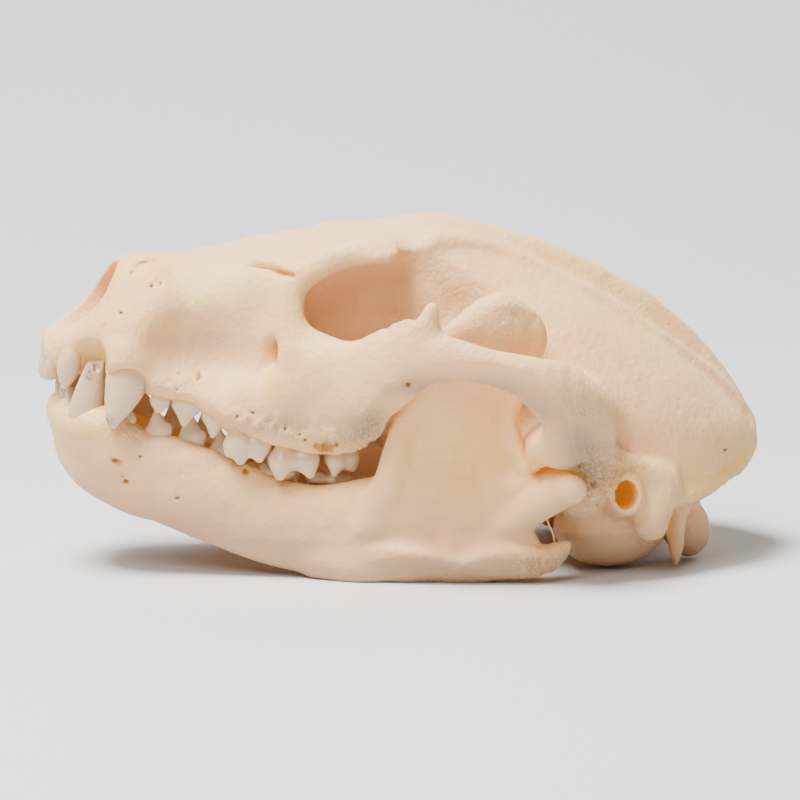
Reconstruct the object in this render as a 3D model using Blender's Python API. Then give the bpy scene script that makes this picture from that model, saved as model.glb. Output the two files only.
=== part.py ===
"""Raccoon skull: cranium, mandible and forty separate teeth.

Sizes are millimetres and become metres in the meshes. The nose points along -Y, the animal's
left side is +X, and the mandible's lower borders stand on Z = 0. Bone is drawn for the left side
and the middle, and a loop repeats the left side on the right.
"""
import math

import bmesh
import bpy
import numpy as np
from mathutils import Matrix, Vector

MM = 0.001
# Moves the design lines so that the finished box is centred on the origin.
CENTRING = (0.0, -0.55, 0.0)
# How finely the bodies are drawn before they are melted together.
SECTION_RINGS_EACH = 3
THINNEST = 0.3
CAP_SHARE = 0.6
BALL_DIVISIONS = 3
RING_SIDES = 20
TUBE_STEPS = 14
CUT_SIDES = 8
CUT_STEPS = 5
SOCKET_GAP = 0.34
EASE_FACTOR = 0.5
EASE_ROUNDS = 5
CRANIUM_VOXEL = 0.9
MANDIBLE_VOXEL = 0.75
CRANIUM_TRIANGLES = 2780
MANDIBLE_TRIANGLES = 1250

# A long body is a row of upright sections: y, centre x, centre z, half width, height above the
# centre, depth below it, roundness above, roundness below (2 is an ellipse, more is squarer).
ROSTRUM = [
    (-59.4, 0, 35.9, 5.0, 1.8, 2.8, 2.2, 2.2),
    (-56.5, 0, 36.6, 7.8, 3.0, 4.4, 2.2, 2.2),
    (-53.0, 0, 37.4, 9.6, 4.8, 5.6, 2.2, 2.4),
    (-50.0, 0, 38.4, 10.8, 7.2, 7.0, 2.3, 2.6),
    (-46.0, 0, 39.6, 11.4, 11.3, 9.2, 2.3, 2.8),
    (-40.0, 0, 39.6, 11.2, 11.9, 10.4, 2.2, 2.8),
    (-34.0, 0, 38.6, 12.4, 13.0, 10.6, 2.1, 2.8),
    (-28.0, 0, 37.6, 14.4, 14.8, 12.6, 2.0, 2.8),
    (-23.0, 0, 37.8, 14.8, 15.9, 15.8, 2.0, 2.6),
    (-17.0, 0, 39.6, 12.2, 15.5, 14.0, 2.1, 2.4),
    (-10.0, 0, 41.6, 10.6, 14.4, 12.0, 2.3, 2.2),
    (-3.0, 0, 41.4, 11.4, 15.0, 14.0, 2.3, 2.2),
    (4.0, 0, 40.0, 11.6, 16.6, 16.0, 2.0, 2.0),
]
BRAINCASE = [
    (0.0, 0, 39.0, 9.6, 17.0, 13.0, 2.0, 2.0),
    (4.0, 0, 37.4, 11.6, 18.8, 16.0, 2.0, 2.0),
    (9.0, 0, 34.6, 16.0, 21.2, 17.6, 2.0, 2.1),
    (14.0, 0, 32.2, 20.2, 21.6, 18.0, 2.0, 2.2),
    (20.0, 0, 29.6, 23.2, 21.2, 17.6, 2.0, 2.3),
    (27.0, 0, 26.8, 24.4, 20.6, 17.0, 2.0, 2.4),
    (34.0, 0, 24.2, 24.6, 18.8, 16.2, 2.0, 2.5),
    (41.0, 0, 21.2, 23.8, 16.0, 14.8, 2.0, 2.5),
    (47.0, 0, 18.0, 21.6, 12.6, 12.6, 2.0, 2.4),
    (52.0, 0, 17.0, 16.4, 8.4, 8.2, 2.0, 2.2),
    (56.0, 0, 17.6, 10.0, 4.6, 4.0, 2.0, 2.0),
    (58.6, 0, 18.6, 5.0, 2.6, 2.0, 2.0, 2.0),
]
FOREHEAD = [
    (-32.0, 0, 44.0, 11.4, 7.4, 6.0, 2.2, 2.2),
    (-23.0, 0, 47.0, 13.0, 6.4, 6.0, 2.3, 2.2),
    (-15.0, 0, 48.8, 12.6, 6.0, 5.0, 2.3, 2.2),
    (-9.0, 0, 49.6, 12.8, 6.2, 4.4, 2.4, 2.2),
    (-4.0, 0, 50.2, 13.8, 5.8, 3.6, 2.4, 2.2),
    (0.0, 0, 50.2, 12.4, 6.0, 4.0, 2.3, 2.2),
    (5.0, 0, 49.6, 9.4, 6.4, 6.0, 2.0, 2.0),
]
PALATE = [
    (-46.0, 0, 33.0, 12.0, 4.0, 2.0, 2.4, 3.0),
    (-38.0, 0, 31.6, 13.8, 5.0, 2.4, 2.4, 3.0),
    (-31.0, 0, 29.0, 15.8, 6.4, 3.4, 2.4, 3.0),
    (-24.0, 0, 25.2, 17.2, 7.4, 3.8, 2.4, 3.0),
    (-16.0, 0, 24.0, 17.6, 7.4, 3.4, 2.2, 3.0),
    (-9.0, 0, 24.2, 16.6, 6.0, 3.4, 2.2, 2.6),
    (-6.4, 0, 24.4, 11.6, 5.6, 3.0, 2.2, 2.4),
    (-3.0, 0, 24.4, 8.8, 7.0, 4.2, 2.2, 2.4),
    (6.0, 0, 22.6, 7.2, 8.6, 5.0, 2.2, 2.6),
    (14.0, 0, 19.0, 8.4, 8.0, 5.0, 2.2, 2.6),
    (24.0, 0, 15.0, 10.4, 7.0, 4.4, 2.2, 2.4),
    (34.0, 0, 12.0, 12.0, 7.0, 4.6, 2.2, 2.4),
    (44.0, 0, 8.4, 9.0, 7.0, 4.4, 2.2, 2.4),
]

# A strip is a flattened tube along a path: x, y, z, half size along its side, half size across.
ARCH = [
    (13.0, -21.0, 31.6, 9.2, 4.0),
    (18.4, -14.6, 30.6, 8.8, 3.4),
    (22.6, -10.2, 31.6, 7.4, 2.8),
    (27.0, -6.4, 35.4, 6.0, 2.3),
    (31.0, -2.4, 38.4, 5.6, 2.1),
    (34.0, 3.0, 38.4, 4.2, 1.9),
    (36.0, 8.4, 37.0, 3.0, 1.8),
    (36.8, 13.4, 35.8, 3.4, 1.9),
    (36.2, 18.0, 33.0, 4.8, 2.2),
    (33.4, 22.6, 29.2, 5.6, 3.2),
    (27.4, 26.0, 26.0, 5.6, 4.6),
    (20.0, 28.0, 24.0, 5.0, 4.0),
]
JUGAL_POINT = [
    (30.6, -3.6, 40.0, 3.0, 1.5),
    (31.6, -1.4, 43.8, 1.7, 1.2),
    (32.0, -0.3, 46.2, 0.6, 0.6),
]
POSTORBITAL = [
    (8.0, -6.0, 52.4, 5.0, 2.6),
    (12.4, -4.2, 51.6, 3.2, 1.9),
    (15.2, -2.6, 50.6, 1.2, 1.0),
]
TEMPORAL_LINE = [
    (11.6, -3.0, 53.4, 1.5, 1.5),
    (6.6, 2.0, 55.2, 1.4, 1.4),
    (2.0, 8.0, 55.8, 1.3, 1.3),
]
SAGITTAL_CREST = [
    (0.0, 4.0, 54.8, 2.6, 2.0),
    (0.0, 13.0, 53.2, 2.8, 1.5),
    (0.0, 24.0, 48.2, 3.6, 1.2),
    (0.0, 34.0, 43.4, 3.8, 1.2),
    (0.0, 44.0, 36.4, 4.2, 1.3),
    (0.0, 51.4, 29.4, 4.2, 1.5),
    (0.0, 56.6, 23.0, 3.2, 2.0),
    (0.0, 58.4, 20.0, 1.8, 3.4),
]
NUCHAL_CREST = [
    (0.0, 58.4, 20.4, 2.0, 2.4),
    (6.0, 56.8, 17.6, 2.2, 2.0),
    (14.0, 51.8, 15.4, 2.6, 1.8),
    (20.0, 47.4, 14.8, 3.0, 1.8),
    (24.4, 42.6, 14.0, 3.4, 2.2),
    (26.0, 37.6, 12.4, 3.6, 2.8),
]
MASTOID = [
    (25.0, 37.0, 15.0, 3.4, 3.0),
    (26.6, 37.4, 10.0, 3.0, 2.6),
    (27.0, 37.4, 6.8, 1.6, 1.5),
]
PAROCCIPITAL = [
    (17.0, 43.4, 12.0, 3.6, 3.0),
    (19.0, 43.6, 6.6, 2.6, 1.8),
    (20.0, 42.8, 1.4, 0.9, 0.9),
]
SUPRAMEATAL = [
    (30.0, 25.0, 23.4, 3.4, 2.4),
    (28.6, 30.0, 20.6, 3.0, 2.2),
    (26.6, 35.4, 17.6, 3.0, 2.2),
]
GLENOID = [
    (19.0, 21.6, 22.4, 4.6, 2.4),
    (26.0, 21.8, 23.2, 5.0, 2.6),
    (33.4, 21.6, 25.0, 4.4, 2.6),
]
POSTGLENOID = [
    (19.6, 27.6, 17.4, 3.6, 1.3),
    (25.0, 28.0, 16.4, 4.8, 1.5),
    (30.6, 27.2, 17.0, 4.4, 1.3),
]
EAR_TUBE = [
    (17.0, 32.6, 12.0, 4.2, 4.2),
    (26.4, 33.4, 13.6, 3.7, 3.7),
]
PTERYGOID = [
    (6.6, -2.0, 22.0, 5.0, 1.2),
    (6.4, 7.0, 18.0, 5.0, 1.1),
    (6.8, 13.6, 14.4, 3.6, 1.0),
    (7.4, 17.6, 11.2, 1.0, 0.8),
]
CANINE_ROOT = [
    (11.4, -47.4, 32.4, 3.4, 3.2),
    (11.6, -45.6, 37.0, 3.2, 2.8),
    (10.4, -42.6, 42.0, 2.6, 2.2),
    (9.2, -39.0, 45.4, 1.6, 1.4),
]
MALAR_EDGE = [
    (13.6, -29.0, 27.4, 4.0, 3.4),
    (16.4, -22.0, 30.0, 4.2, 3.0),
    (18.4, -15.0, 34.4, 3.2, 2.6),
]
CRANIUM_STRIPS = [
    (ARCH, (0, 0, 1)), (JUGAL_POINT, (0, 1, 0)), (POSTORBITAL, (0, 1, 0)),
    (TEMPORAL_LINE, (0, 0, 1)), (NUCHAL_CREST, (0, 1, 0)), (MASTOID, (0, 1, 0)),
    (PAROCCIPITAL, (1, 0, 0)), (SUPRAMEATAL, (0, 0, 1)), (GLENOID, (0, 1, 0)),
    (POSTGLENOID, (0, 0, 1)), (EAR_TUBE, (0, 0, 1)), (PTERYGOID, (0, 0, 1)),
    (CANINE_ROOT, (0, 1, 0)), (MALAR_EDGE, (0, 0, 1)),
]

# A ball: centre, three half sizes, turn about X and about Z in degrees.
BULLA = ((14.6, 32.8, 8.0), (6.6, 9.6, 7.2), 0, 12)
OCCIPITAL_CONDYLE = ((9.6, 46.0, 6.8), (3.4, 4.2, 5.8), 20, 20)
CRANIUM_BALLS = [BULLA, OCCIPITAL_CONDYLE]

# Spaces cut out of the cranium.
NOSE_CUT = [
    (0.0, -64.0, 45.4, 7.2, 5.6),
    (0.0, -56.0, 44.6, 7.2, 6.0),
    (0.0, -50.0, 43.6, 7.0, 6.4),
    (0.0, -42.0, 42.6, 6.4, 6.4),
    (0.0, -33.0, 41.0, 3.6, 4.2),
]
FORAMEN_MAGNUM = [
    (0.0, 58.0, 5.0, 6.4, 5.4),
    (0.0, 47.0, 8.6, 6.0, 5.2),
    (0.0, 38.0, 13.0, 3.0, 3.0),
]
EAR_CUT = [
    (32.0, 34.0, 14.0, 2.6, 2.6),
    (22.0, 33.0, 13.2, 2.2, 2.2),
]
CHOANA = [
    (0.0, 20.0, 11.6, 4.6, 4.6),
    (0.0, 12.0, 16.4, 4.6, 4.4),
    (0.0, 4.0, 21.0, 4.2, 3.4),
]
CHEEK_HOLE = [
    (20.0, -28.4, 34.6, 2.6, 1.5),
    (15.0, -22.6, 36.6, 2.4, 1.4),
    (13.6, -18.0, 38.0, 2.0, 1.2),
]
CRANIUM_CUTS = [
    (NOSE_CUT, (1, 0, 0), False), (FORAMEN_MAGNUM, (1, 0, 0), False),
    (EAR_CUT, (0, 1, 0), True), (CHOANA, (1, 0, 0), False), (CHEEK_HOLE, (0, 0, 1), True),
]

# The mandible's strips.
JAW_BODY = [
    (3.0, -53.6, 21.6, 6.6, 2.6),
    (5.8, -50.6, 19.4, 7.4, 3.2),
    (9.0, -45.4, 17.8, 8.0, 3.2),
    (10.8, -39.0, 15.6, 8.2, 3.0),
    (12.4, -32.0, 12.8, 8.2, 3.0),
    (14.0, -24.0, 9.8, 7.8, 3.2),
    (16.8, -16.0, 8.2, 7.8, 3.2),
    (20.6, -8.0, 8.4, 8.2, 2.8),
    (23.6, 0.0, 10.0, 8.8, 2.3),
    (25.4, 8.0, 11.0, 7.6, 1.9),
]
CORONOID = [
    (24.4, 4.6, 12.0, 12.4, 1.5),
    (24.8, 5.0, 20.0, 12.0, 1.5),
    (25.2, 4.8, 26.0, 10.2, 1.5),
    (25.6, 5.5, 30.0, 9.4, 1.5),
    (26.0, 7.4, 35.0, 8.6, 1.4),
    (26.3, 10.6, 40.0, 8.6, 1.3),
    (26.5, 12.6, 43.6, 7.4, 1.2),
    (26.5, 14.6, 45.4, 4.2, 1.0),
]
CORONOID_EDGE = [
    (22.6, -7.6, 14.0, 2.2, 2.2),
    (23.8, -5.0, 21.0, 2.0, 2.0),
    (25.2, -2.4, 29.0, 1.8, 1.8),
    (26.0, 2.0, 37.6, 1.6, 1.6),
]
LOWER_EDGE = [
    (20.6, -11.0, 1.7, 2.4, 2.3),
    (22.6, -4.0, 1.8, 2.4, 2.3),
    (25.0, 4.0, 2.4, 2.3, 2.2),
    (27.0, 11.0, 2.0, 2.4, 2.3),
    (27.8, 16.6, 1.9, 2.4, 2.3),
    (27.6, 20.6, 3.2, 1.8, 1.7),
    (26.8, 23.2, 5.0, 0.9, 0.9),
]
ANGLE_PLATE = [
    (25.6, 5.0, 8.6, 7.0, 1.5),
    (26.8, 12.0, 7.4, 6.0, 1.5),
    (27.4, 17.6, 5.4, 3.4, 1.5),
]
CONDYLE_NECK = [
    (25.8, 10.0, 14.0, 6.0, 1.8),
    (26.4, 15.6, 14.4, 4.4, 2.0),
    (26.6, 20.0, 15.4, 2.8, 2.2),
]
CONDYLE = [
    (19.6, 21.6, 16.0, 1.6, 1.5),
    (22.0, 21.4, 16.0, 2.5, 2.3),
    (27.0, 21.4, 15.8, 2.9, 2.5),
    (31.4, 21.0, 15.6, 2.6, 2.3),
    (33.4, 20.8, 15.6, 1.4, 1.4),
]
CHIN = [
    (0.0, -55.2, 26.0, 2.8, 6.2),
    (0.0, -53.6, 20.6, 3.0, 5.2),
    (0.0, -49.8, 15.6, 3.0, 5.2),
    (0.0, -45.2, 13.4, 2.0, 4.0),
]
JAW_FRONT = [
    (0.0, -56.2, 25.6, 2.4, 1.9),
    (4.6, -55.2, 25.2, 2.4, 2.1),
    (8.4, -52.8, 24.0, 3.0, 2.9),
    (9.6, -48.6, 21.6, 3.4, 3.0),
]
MANDIBLE_STRIPS = [
    (JAW_BODY, (0, 0, 1)), (CORONOID, (0, 1, 0)), (CORONOID_EDGE, (0, 1, 0)),
    (LOWER_EDGE, (0, 0, 1)), (ANGLE_PLATE, (0, 0, 1)), (CONDYLE_NECK, (0, 0, 1)),
    (CONDYLE, (0, 1, 0)), (JAW_FRONT, (0, 0, 1)),
]
# The bone is cut off flat here, where it rests, by a block of this size in metres.
REST_CUT = 0.0
REST_BLOCK = (0.2, 0.2, 0.02)

# A tooth of the left side: gum centre; crown lean towards +X and +Y for each unit of height;
# half length along the row, half width across it, crown height, root depth; turn of the row in
# degrees; sharpness of the tip (1 is a point, 0 a flat table); fall of the chewing face outwards.
UPPER_TEETH = {
    "I1": ((1.6, -57.6, 35.0), (0.00, -0.25), (1.2, 1.1, 3.4, 2.8), 90, 0.5, 0.0),
    "I2": ((4.4, -57.0, 35.4), (0.04, -0.22), (1.3, 1.2, 3.6, 2.6), 78, 0.5, 0.0),
    "I3": ((7.2, -55.2, 36.4), (0.08, -0.10), (1.6, 1.5, 5.2, 2.8), 60, 0.8, 0.0),
    "C": ((12.2, -46.8, 31.8), (0.24, -0.38), (3.3, 2.4, 6.8, 12.0), 90, 0.9, 0.0),
    "P1": ((12.6, -40.9, 29.8), (0.06, 0.0), (1.3, 1.0, 2.6, 4.0), 90, 0.7, 0.0),
    "P2": ((13.2, -37.1, 28.8), (0.06, 0.0), (1.9, 1.3, 4.2, 4.6), 98, 0.8, 0.0),
    "P3": ((14.2, -32.8, 26.6), (0.06, 0.0), (2.0, 1.5, 4.4, 4.6), 100, 0.8, 0.0),
    "P4": ((15.2, -27.1, 22.9), (0.04, 0.0), (3.2, 2.6, 3.9, 4.6), 96, 0.35, -0.3),
    "M1": ((15.0, -19.9, 20.6), (0.04, 0.0), (3.7, 3.3, 4.0, 4.6), 92, 0.25, -0.37),
    "M2": ((15.0, -12.4, 20.4), (0.04, 0.0), (2.7, 3.0, 3.8, 4.2), 86, 0.25, -0.37),
}
LOWER_TEETH = {
    "i1": ((1.3, -56.2, 27.6), (0.00, -0.02), (0.9, 1.0, 3.2, 4.0), 90, 0.5, 0.0),
    "i2": ((3.4, -55.8, 27.4), (0.02, -0.02), (1.0, 1.0, 3.4, 4.0), 80, 0.5, 0.0),
    "i3": ((5.6, -54.9, 27.0), (0.04, -0.02), (1.0, 1.1, 3.4, 4.0), 65, 0.5, 0.0),
    "c": ((9.0, -53.0, 26.6), (0.05, 0.22), (2.5, 1.9, 7.8, 9.0), 90, 0.75, 0.0),
    "p1": ((9.8, -46.0, 25.0), (0.0, 0.0), (1.1, 0.9, 2.4, 4.0), 96, 0.7, 0.0),
    "p2": ((10.1, -41.4, 24.4), (0.0, 0.0), (1.8, 1.0, 3.6, 5.0), 94, 0.8, 0.0),
    "p3": ((10.3, -36.2, 22.8), (0.0, 0.0), (1.9, 1.1, 4.2, 5.0), 94, 0.8, 0.0),
    "p4": ((10.8, -31.0, 20.2), (0.0, 0.0), (2.2, 1.2, 3.6, 5.0), 98, 0.7, 0.0),
    "m1": ((12.4, -23.2, 15.9), (0.0, 0.0), (4.2, 1.8, 2.9, 4.6), 100, 0.2, -0.37),
    "m2": ((13.8, -14.0, 14.8), (0.0, 0.0), (3.7, 1.7, 2.5, 4.6), 104, 0.2, -0.37),
}
# Sideways shift of a canine's root tip for each unit of depth.
ROOT_LEAN = {"C": (-0.22, 0.50), "c": (-0.04, 0.35)}
TOOTH_SIDES = 8
# A tooth's breadth, as shares of its widest part, which lies at BULGE_HEIGHT of the crown.
ROOT_TIP_SHARE = 0.40
NECK_SHARE = 0.80
BULGE_HEIGHT = 0.45
NARROWEST_TIP = 0.08
BROADEST_TIP = 0.72

BONE_COLOUR = (0.80, 0.66, 0.50)
TOOTH_COLOUR = (0.66, 0.60, 0.50)
BONE_ROUGHNESS = 0.55
TOOTH_ROUGHNESS = 0.3


def clear_scene():
    """Remove every object of the scene the script starts in."""
    for thing in list(bpy.data.objects):
        bpy.data.objects.remove(thing, do_unlink=True)


def material(name, colour, roughness):
    """A plain Principled material."""
    made = bpy.data.materials.new(name)
    made.use_nodes = True
    shader = made.node_tree.nodes["Principled BSDF"]
    shader.inputs["Base Color"].default_value = (*colour, 1.0)
    shader.inputs["Roughness"].default_value = roughness
    shader.inputs["Metallic"].default_value = 0.0
    return made


def smooth_rows(rows, count):
    """Rows of numbers read evenly along a Catmull-Rom curve through the given rows."""
    known = np.asarray(rows, float)
    ends = np.vstack([2 * known[0] - known[1], known, 2 * known[-1] - known[-2]])
    place = np.linspace(0, len(known) - 1, count)
    first = np.minimum(place.astype(int), len(known) - 2)
    t = (place - first)[:, None]
    a, b, c, d = (ends[first + step] for step in range(4))
    return 0.5 * (2 * b + (c - a) * t + (2 * a - 5 * b + 4 * c - d) * t**2
                  + (3 * b - a - 3 * c + d) * t**3)


def add_rings(mesh, rings):
    """Join rings of points into one closed body with flat ends."""
    shift = Vector(CENTRING)
    loops = [[mesh.verts.new((Vector(point) + shift) * MM) for point in ring] for ring in rings]
    for near, far in zip(loops, loops[1:]):
        for i in range(len(near)):
            j = (i + 1) % len(near)
            mesh.faces.new((near[i], near[j], far[j], far[i]))
    mesh.faces.new(list(reversed(loops[0])))
    mesh.faces.new(loops[-1])


def add_sections(mesh, rows):
    """A long body from upright superellipse sections."""
    angles = np.linspace(0, 2 * math.pi, RING_SIDES, endpoint=False)
    rings = []
    sections = smooth_rows(rows, SECTION_RINGS_EACH * len(rows))
    for y, x, z, half, above, below, round_up, round_down in sections:
        ring = []
        for angle in angles:
            across, rise = math.cos(angle), math.sin(angle)
            power = 2 / (round_up if rise > 0 else round_down)
            height = above if rise > 0 else below
            ring.append((x + half * math.copysign(abs(across) ** power, across), y,
                         z + height * math.copysign(abs(rise) ** power, rise)))
        rings.append(ring)
    add_rings(mesh, rings)


def capped(ring, centre, reach):
    """The smaller ring that eases the end of a tube, drawn in and moved along."""
    return [centre + (point - centre) * CAP_SHARE + reach * CAP_SHARE for point in ring]


def add_strip(mesh, rows, side, flip=1, sides=RING_SIDES, steps=TUBE_STEPS):
    """A flattened tube along a path; flip -1 draws it on the other side of the middle."""
    path = smooth_rows(rows, steps)
    spots = path[:, :3]
    sizes = np.maximum(path[:, 3:5], THINNEST)
    ahead = np.gradient(spots, axis=0)
    ahead /= np.linalg.norm(ahead, axis=1)[:, None]
    rings = []
    angles = np.linspace(0, 2 * math.pi, sides, endpoint=False)
    for spot, way, (tall, thin) in zip(spots, ahead, sizes):
        first = np.asarray(side, float) - np.dot(side, way) * way
        first /= np.linalg.norm(first)
        second = np.cross(way, first)
        rings.append([(spot + tall * math.cos(a) * first + thin * math.sin(a) * second)
                      * (flip, 1, 1) for a in angles])
    mirror = np.array((flip, 1, 1))
    first_cap = capped(rings[0], spots[0] * mirror, -ahead[0] * sizes[0].min() * mirror)
    last_cap = capped(rings[-1], spots[-1] * mirror, ahead[-1] * sizes[-1].min() * mirror)
    rings = [first_cap, *rings, last_cap]
    add_rings(mesh, rings)


def add_ball(mesh, centre, sizes, about_x, about_z, flip=1):
    """An ellipsoid, turned about its own centre."""
    middle = Vector((centre[0] * flip, centre[1], centre[2])) + Vector(CENTRING)
    place = Matrix.Translation(middle * MM)
    turn = (Matrix.Rotation(math.radians(about_z * flip), 4, "Z")
            @ Matrix.Rotation(math.radians(about_x), 4, "X"))
    stretch = Matrix.Diagonal((*(Vector(sizes) * MM), 1))
    bmesh.ops.create_icosphere(mesh, subdivisions=BALL_DIVISIONS, radius=1.0,
                              matrix=place @ turn @ stretch)


def finish(name, mesh, coat=None):
    """Turn a bmesh into a named object with outward faces."""
    bmesh.ops.recalc_face_normals(mesh, faces=mesh.faces)
    data = bpy.data.meshes.new(name)
    mesh.to_mesh(data)
    mesh.free()
    made = bpy.data.objects.new(name, data)
    bpy.context.collection.objects.link(made)
    if coat:
        data.materials.append(coat)
    return made


def as_cutter(cutter):
    """Leave an object out of the model and draw it as wire."""
    cutter.hide_render = True
    cutter.display_type = "WIRE"
    return cutter


def fuse(thing, voxel, triangles=None):
    """Melt overlapping bodies into one skin, ease it and thin it out."""
    melt = thing.modifiers.new("One skin", "REMESH")
    melt.mode = "VOXEL"
    melt.voxel_size = voxel * MM
    ease = thing.modifiers.new("Ease", "SMOOTH")
    ease.factor = EASE_FACTOR
    ease.iterations = EASE_ROUNDS
    if triangles:
        bpy.context.view_layer.update()
        graph = bpy.context.evaluated_depsgraph_get()
        dense = sum(len(face.vertices) - 2 for face in thing.evaluated_get(graph).data.polygons)
        thin = thing.modifiers.new("Thin out", "DECIMATE")
        thin.ratio = min(1.0, triangles / dense)


def cut_by(thing, cutter, overlapping=False):
    """Take a cutter's space out of an object."""
    cut = thing.modifiers.new("Cut " + cutter.name, "BOOLEAN")
    cut.operation = "DIFFERENCE"
    cut.solver = "EXACT"
    cut.object = cutter
    cut.use_self = overlapping


def tooth_rings(tooth, gap=0.0):
    """Rings of one tooth from root tip to crown, grown by a gap for its socket."""
    half_length, half_width, crown, root = tooth["sizes"]
    up = tooth["up"]
    flip = tooth["flip"]
    row_turn = math.radians(tooth["turn"])
    along = np.array((math.cos(row_turn) * flip, math.sin(row_turn), 0.0))
    across = np.array((math.sin(row_turn) * flip, -math.cos(row_turn), 0.0))
    tip_share = BROADEST_TIP * (1.0 - tooth["sharp"]) + NARROWEST_TIP
    profile = [
        (-root - gap, ROOT_TIP_SHARE), (0.0, NECK_SHARE), (BULGE_HEIGHT * crown, 1.0),
        (crown + gap, tip_share),
    ]
    rings = []
    for height, share in profile:
        lean = tooth["lean"] if height > 0 else tooth["root_lean"]
        reach = abs(height)
        middle = np.array(tooth["gum"]) + (lean[0] * reach, lean[1] * reach, up * height)
        middle *= (flip, 1, 1)
        ring = []
        for step in range(TOOTH_SIDES):
            angle = 2 * math.pi * (step + 0.5) / TOOTH_SIDES
            out = math.sin(angle) * (half_width * share + gap)
            point = middle + along * math.cos(angle) * (half_length * share + gap) + across * out
            if height >= crown:
                point[2] += tooth["fall"] * out - up * abs(tooth["fall"]) * half_width / 2
            ring.append(point)
        rings.append(ring)
    return rings


def all_teeth():
    """Yield a name and the full description of each tooth, left and right."""
    for teeth, up, jaw in ((UPPER_TEETH, -1, "upper"), (LOWER_TEETH, 1, "lower")):
        for key, (gum, lean, sizes, turn, sharp, fall) in teeth.items():
            for flip, word in ((1, "left"), (-1, "right")):
                straight = (-lean[0], -lean[1])
                yield f"tooth_{jaw}_{word}_{key}", {
                    "gum": gum, "lean": lean, "root_lean": ROOT_LEAN.get(key, straight),
                    "sizes": sizes, "turn": turn, "sharp": sharp, "fall": fall,
                    "up": up, "flip": flip,
                }


def make_cranium(coat):
    """The cranium before its sockets are cut."""
    mesh = bmesh.new()
    for rows in (ROSTRUM, FOREHEAD, BRAINCASE, PALATE):
        add_sections(mesh, rows)
    add_strip(mesh, SAGITTAL_CREST, (0, 0, 1))
    for flip in (1, -1):
        for rows, side in CRANIUM_STRIPS:
            add_strip(mesh, rows, side, flip)
        for centre, sizes, about_x, about_z in CRANIUM_BALLS:
            add_ball(mesh, centre, sizes, about_x, about_z, flip)
    cranium = finish("cranium", mesh, coat)
    fuse(cranium, CRANIUM_VOXEL, CRANIUM_TRIANGLES)
    mesh = bmesh.new()
    for rows, side, paired in CRANIUM_CUTS:
        for flip in (1, -1) if paired else (1,):
            add_strip(mesh, rows, side, flip, CUT_SIDES, CUT_STEPS)
    spaces = as_cutter(finish("cranium_spaces", mesh))
    cut_by(cranium, spaces, overlapping=True)
    return cranium


def make_mandible(coat):
    """The mandible, both halves grown together at the chin."""
    mesh = bmesh.new()
    add_strip(mesh, CHIN, (0, 1, 0))
    for flip in (1, -1):
        for rows, side in MANDIBLE_STRIPS:
            add_strip(mesh, rows, side, flip)
    mandible = finish("mandible", mesh, coat)
    fuse(mandible, MANDIBLE_VOXEL, MANDIBLE_TRIANGLES)
    mesh = bmesh.new()
    middle = (0, 0, REST_CUT * MM - REST_BLOCK[2] / 2)
    low = Matrix.Translation(middle) @ Matrix.Diagonal((*REST_BLOCK, 1))
    bmesh.ops.create_cube(mesh, size=1.0, matrix=low)
    cut_by(mandible, as_cutter(finish("table_plane", mesh)))
    return mandible


def make_teeth(coat):
    """Forty teeth, and one cutter with all of them grown by the socket gap."""
    sockets = bmesh.new()
    for name, spec in all_teeth():
        mesh = bmesh.new()
        add_rings(mesh, tooth_rings(spec))
        tooth = finish(name, mesh, coat)
        tooth.data.shade_smooth()
        add_rings(sockets, tooth_rings(spec, SOCKET_GAP))
    return as_cutter(finish("sockets", sockets))


def build():
    """Make the whole skull."""
    clear_scene()
    bone = material("bone", BONE_COLOUR, BONE_ROUGHNESS)
    enamel = material("enamel", TOOTH_COLOUR, TOOTH_ROUGHNESS)
    cranium = make_cranium(bone)
    mandible = make_mandible(bone)
    sockets = make_teeth(enamel)
    for jaw in (cranium, mandible):
        cut_by(jaw, sockets, overlapping=True)
        jaw.data.shade_smooth()


build()
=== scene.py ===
"""Looks of the raccoon skull.

Sizes are millimetres in the same frame as the solids: nose to -Y, left side +X, table at Z = 0.
Bone is worked out as whole numpy arrays: every profile carried along a path gives a distance to
its skin on a lattice of points, the distances are melted together, and the zero level becomes the
mesh. Each tooth is made in the same way on a finer lattice, in axes of its own.
"""
import math

import bpy
import numpy as np
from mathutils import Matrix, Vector


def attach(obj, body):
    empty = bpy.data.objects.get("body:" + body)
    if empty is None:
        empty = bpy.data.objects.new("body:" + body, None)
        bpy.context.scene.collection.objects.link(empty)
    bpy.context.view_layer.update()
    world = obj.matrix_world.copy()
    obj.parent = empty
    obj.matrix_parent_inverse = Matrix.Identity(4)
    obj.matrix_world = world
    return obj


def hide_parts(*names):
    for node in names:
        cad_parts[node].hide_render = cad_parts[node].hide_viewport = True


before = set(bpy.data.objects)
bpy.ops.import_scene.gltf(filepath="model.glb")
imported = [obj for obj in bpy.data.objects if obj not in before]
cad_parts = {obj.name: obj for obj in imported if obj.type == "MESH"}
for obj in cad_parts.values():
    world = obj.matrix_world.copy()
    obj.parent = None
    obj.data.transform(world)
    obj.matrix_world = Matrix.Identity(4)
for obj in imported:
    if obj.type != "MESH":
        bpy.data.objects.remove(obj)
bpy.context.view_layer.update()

MM = 0.001
CENTRING = np.array((0.0, -0.55, 0.0))

# Each bone's lattice: spacing, lowest and highest corner of its left half, and the most triangles
# that the bone keeps.
CRANIUM_STEP = 0.4
CRANIUM_LOW, CRANIUM_HIGH = (0, -63, -2), (42, 63, 60)
CRANIUM_TRIANGLES = 196000
MANDIBLE_STEP = 0.36
MANDIBLE_LOW, MANDIBLE_HIGH = (0, -63, -2), (38, 28, 50)
MANDIBLE_TRIANGLES = 120000
# Rounds of averaging that ease the joins between tubes.
CRANIUM_EASING = 3
MANDIBLE_EASING = 2
# The distance that an empty lattice holds.
FAR = 30.0
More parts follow.
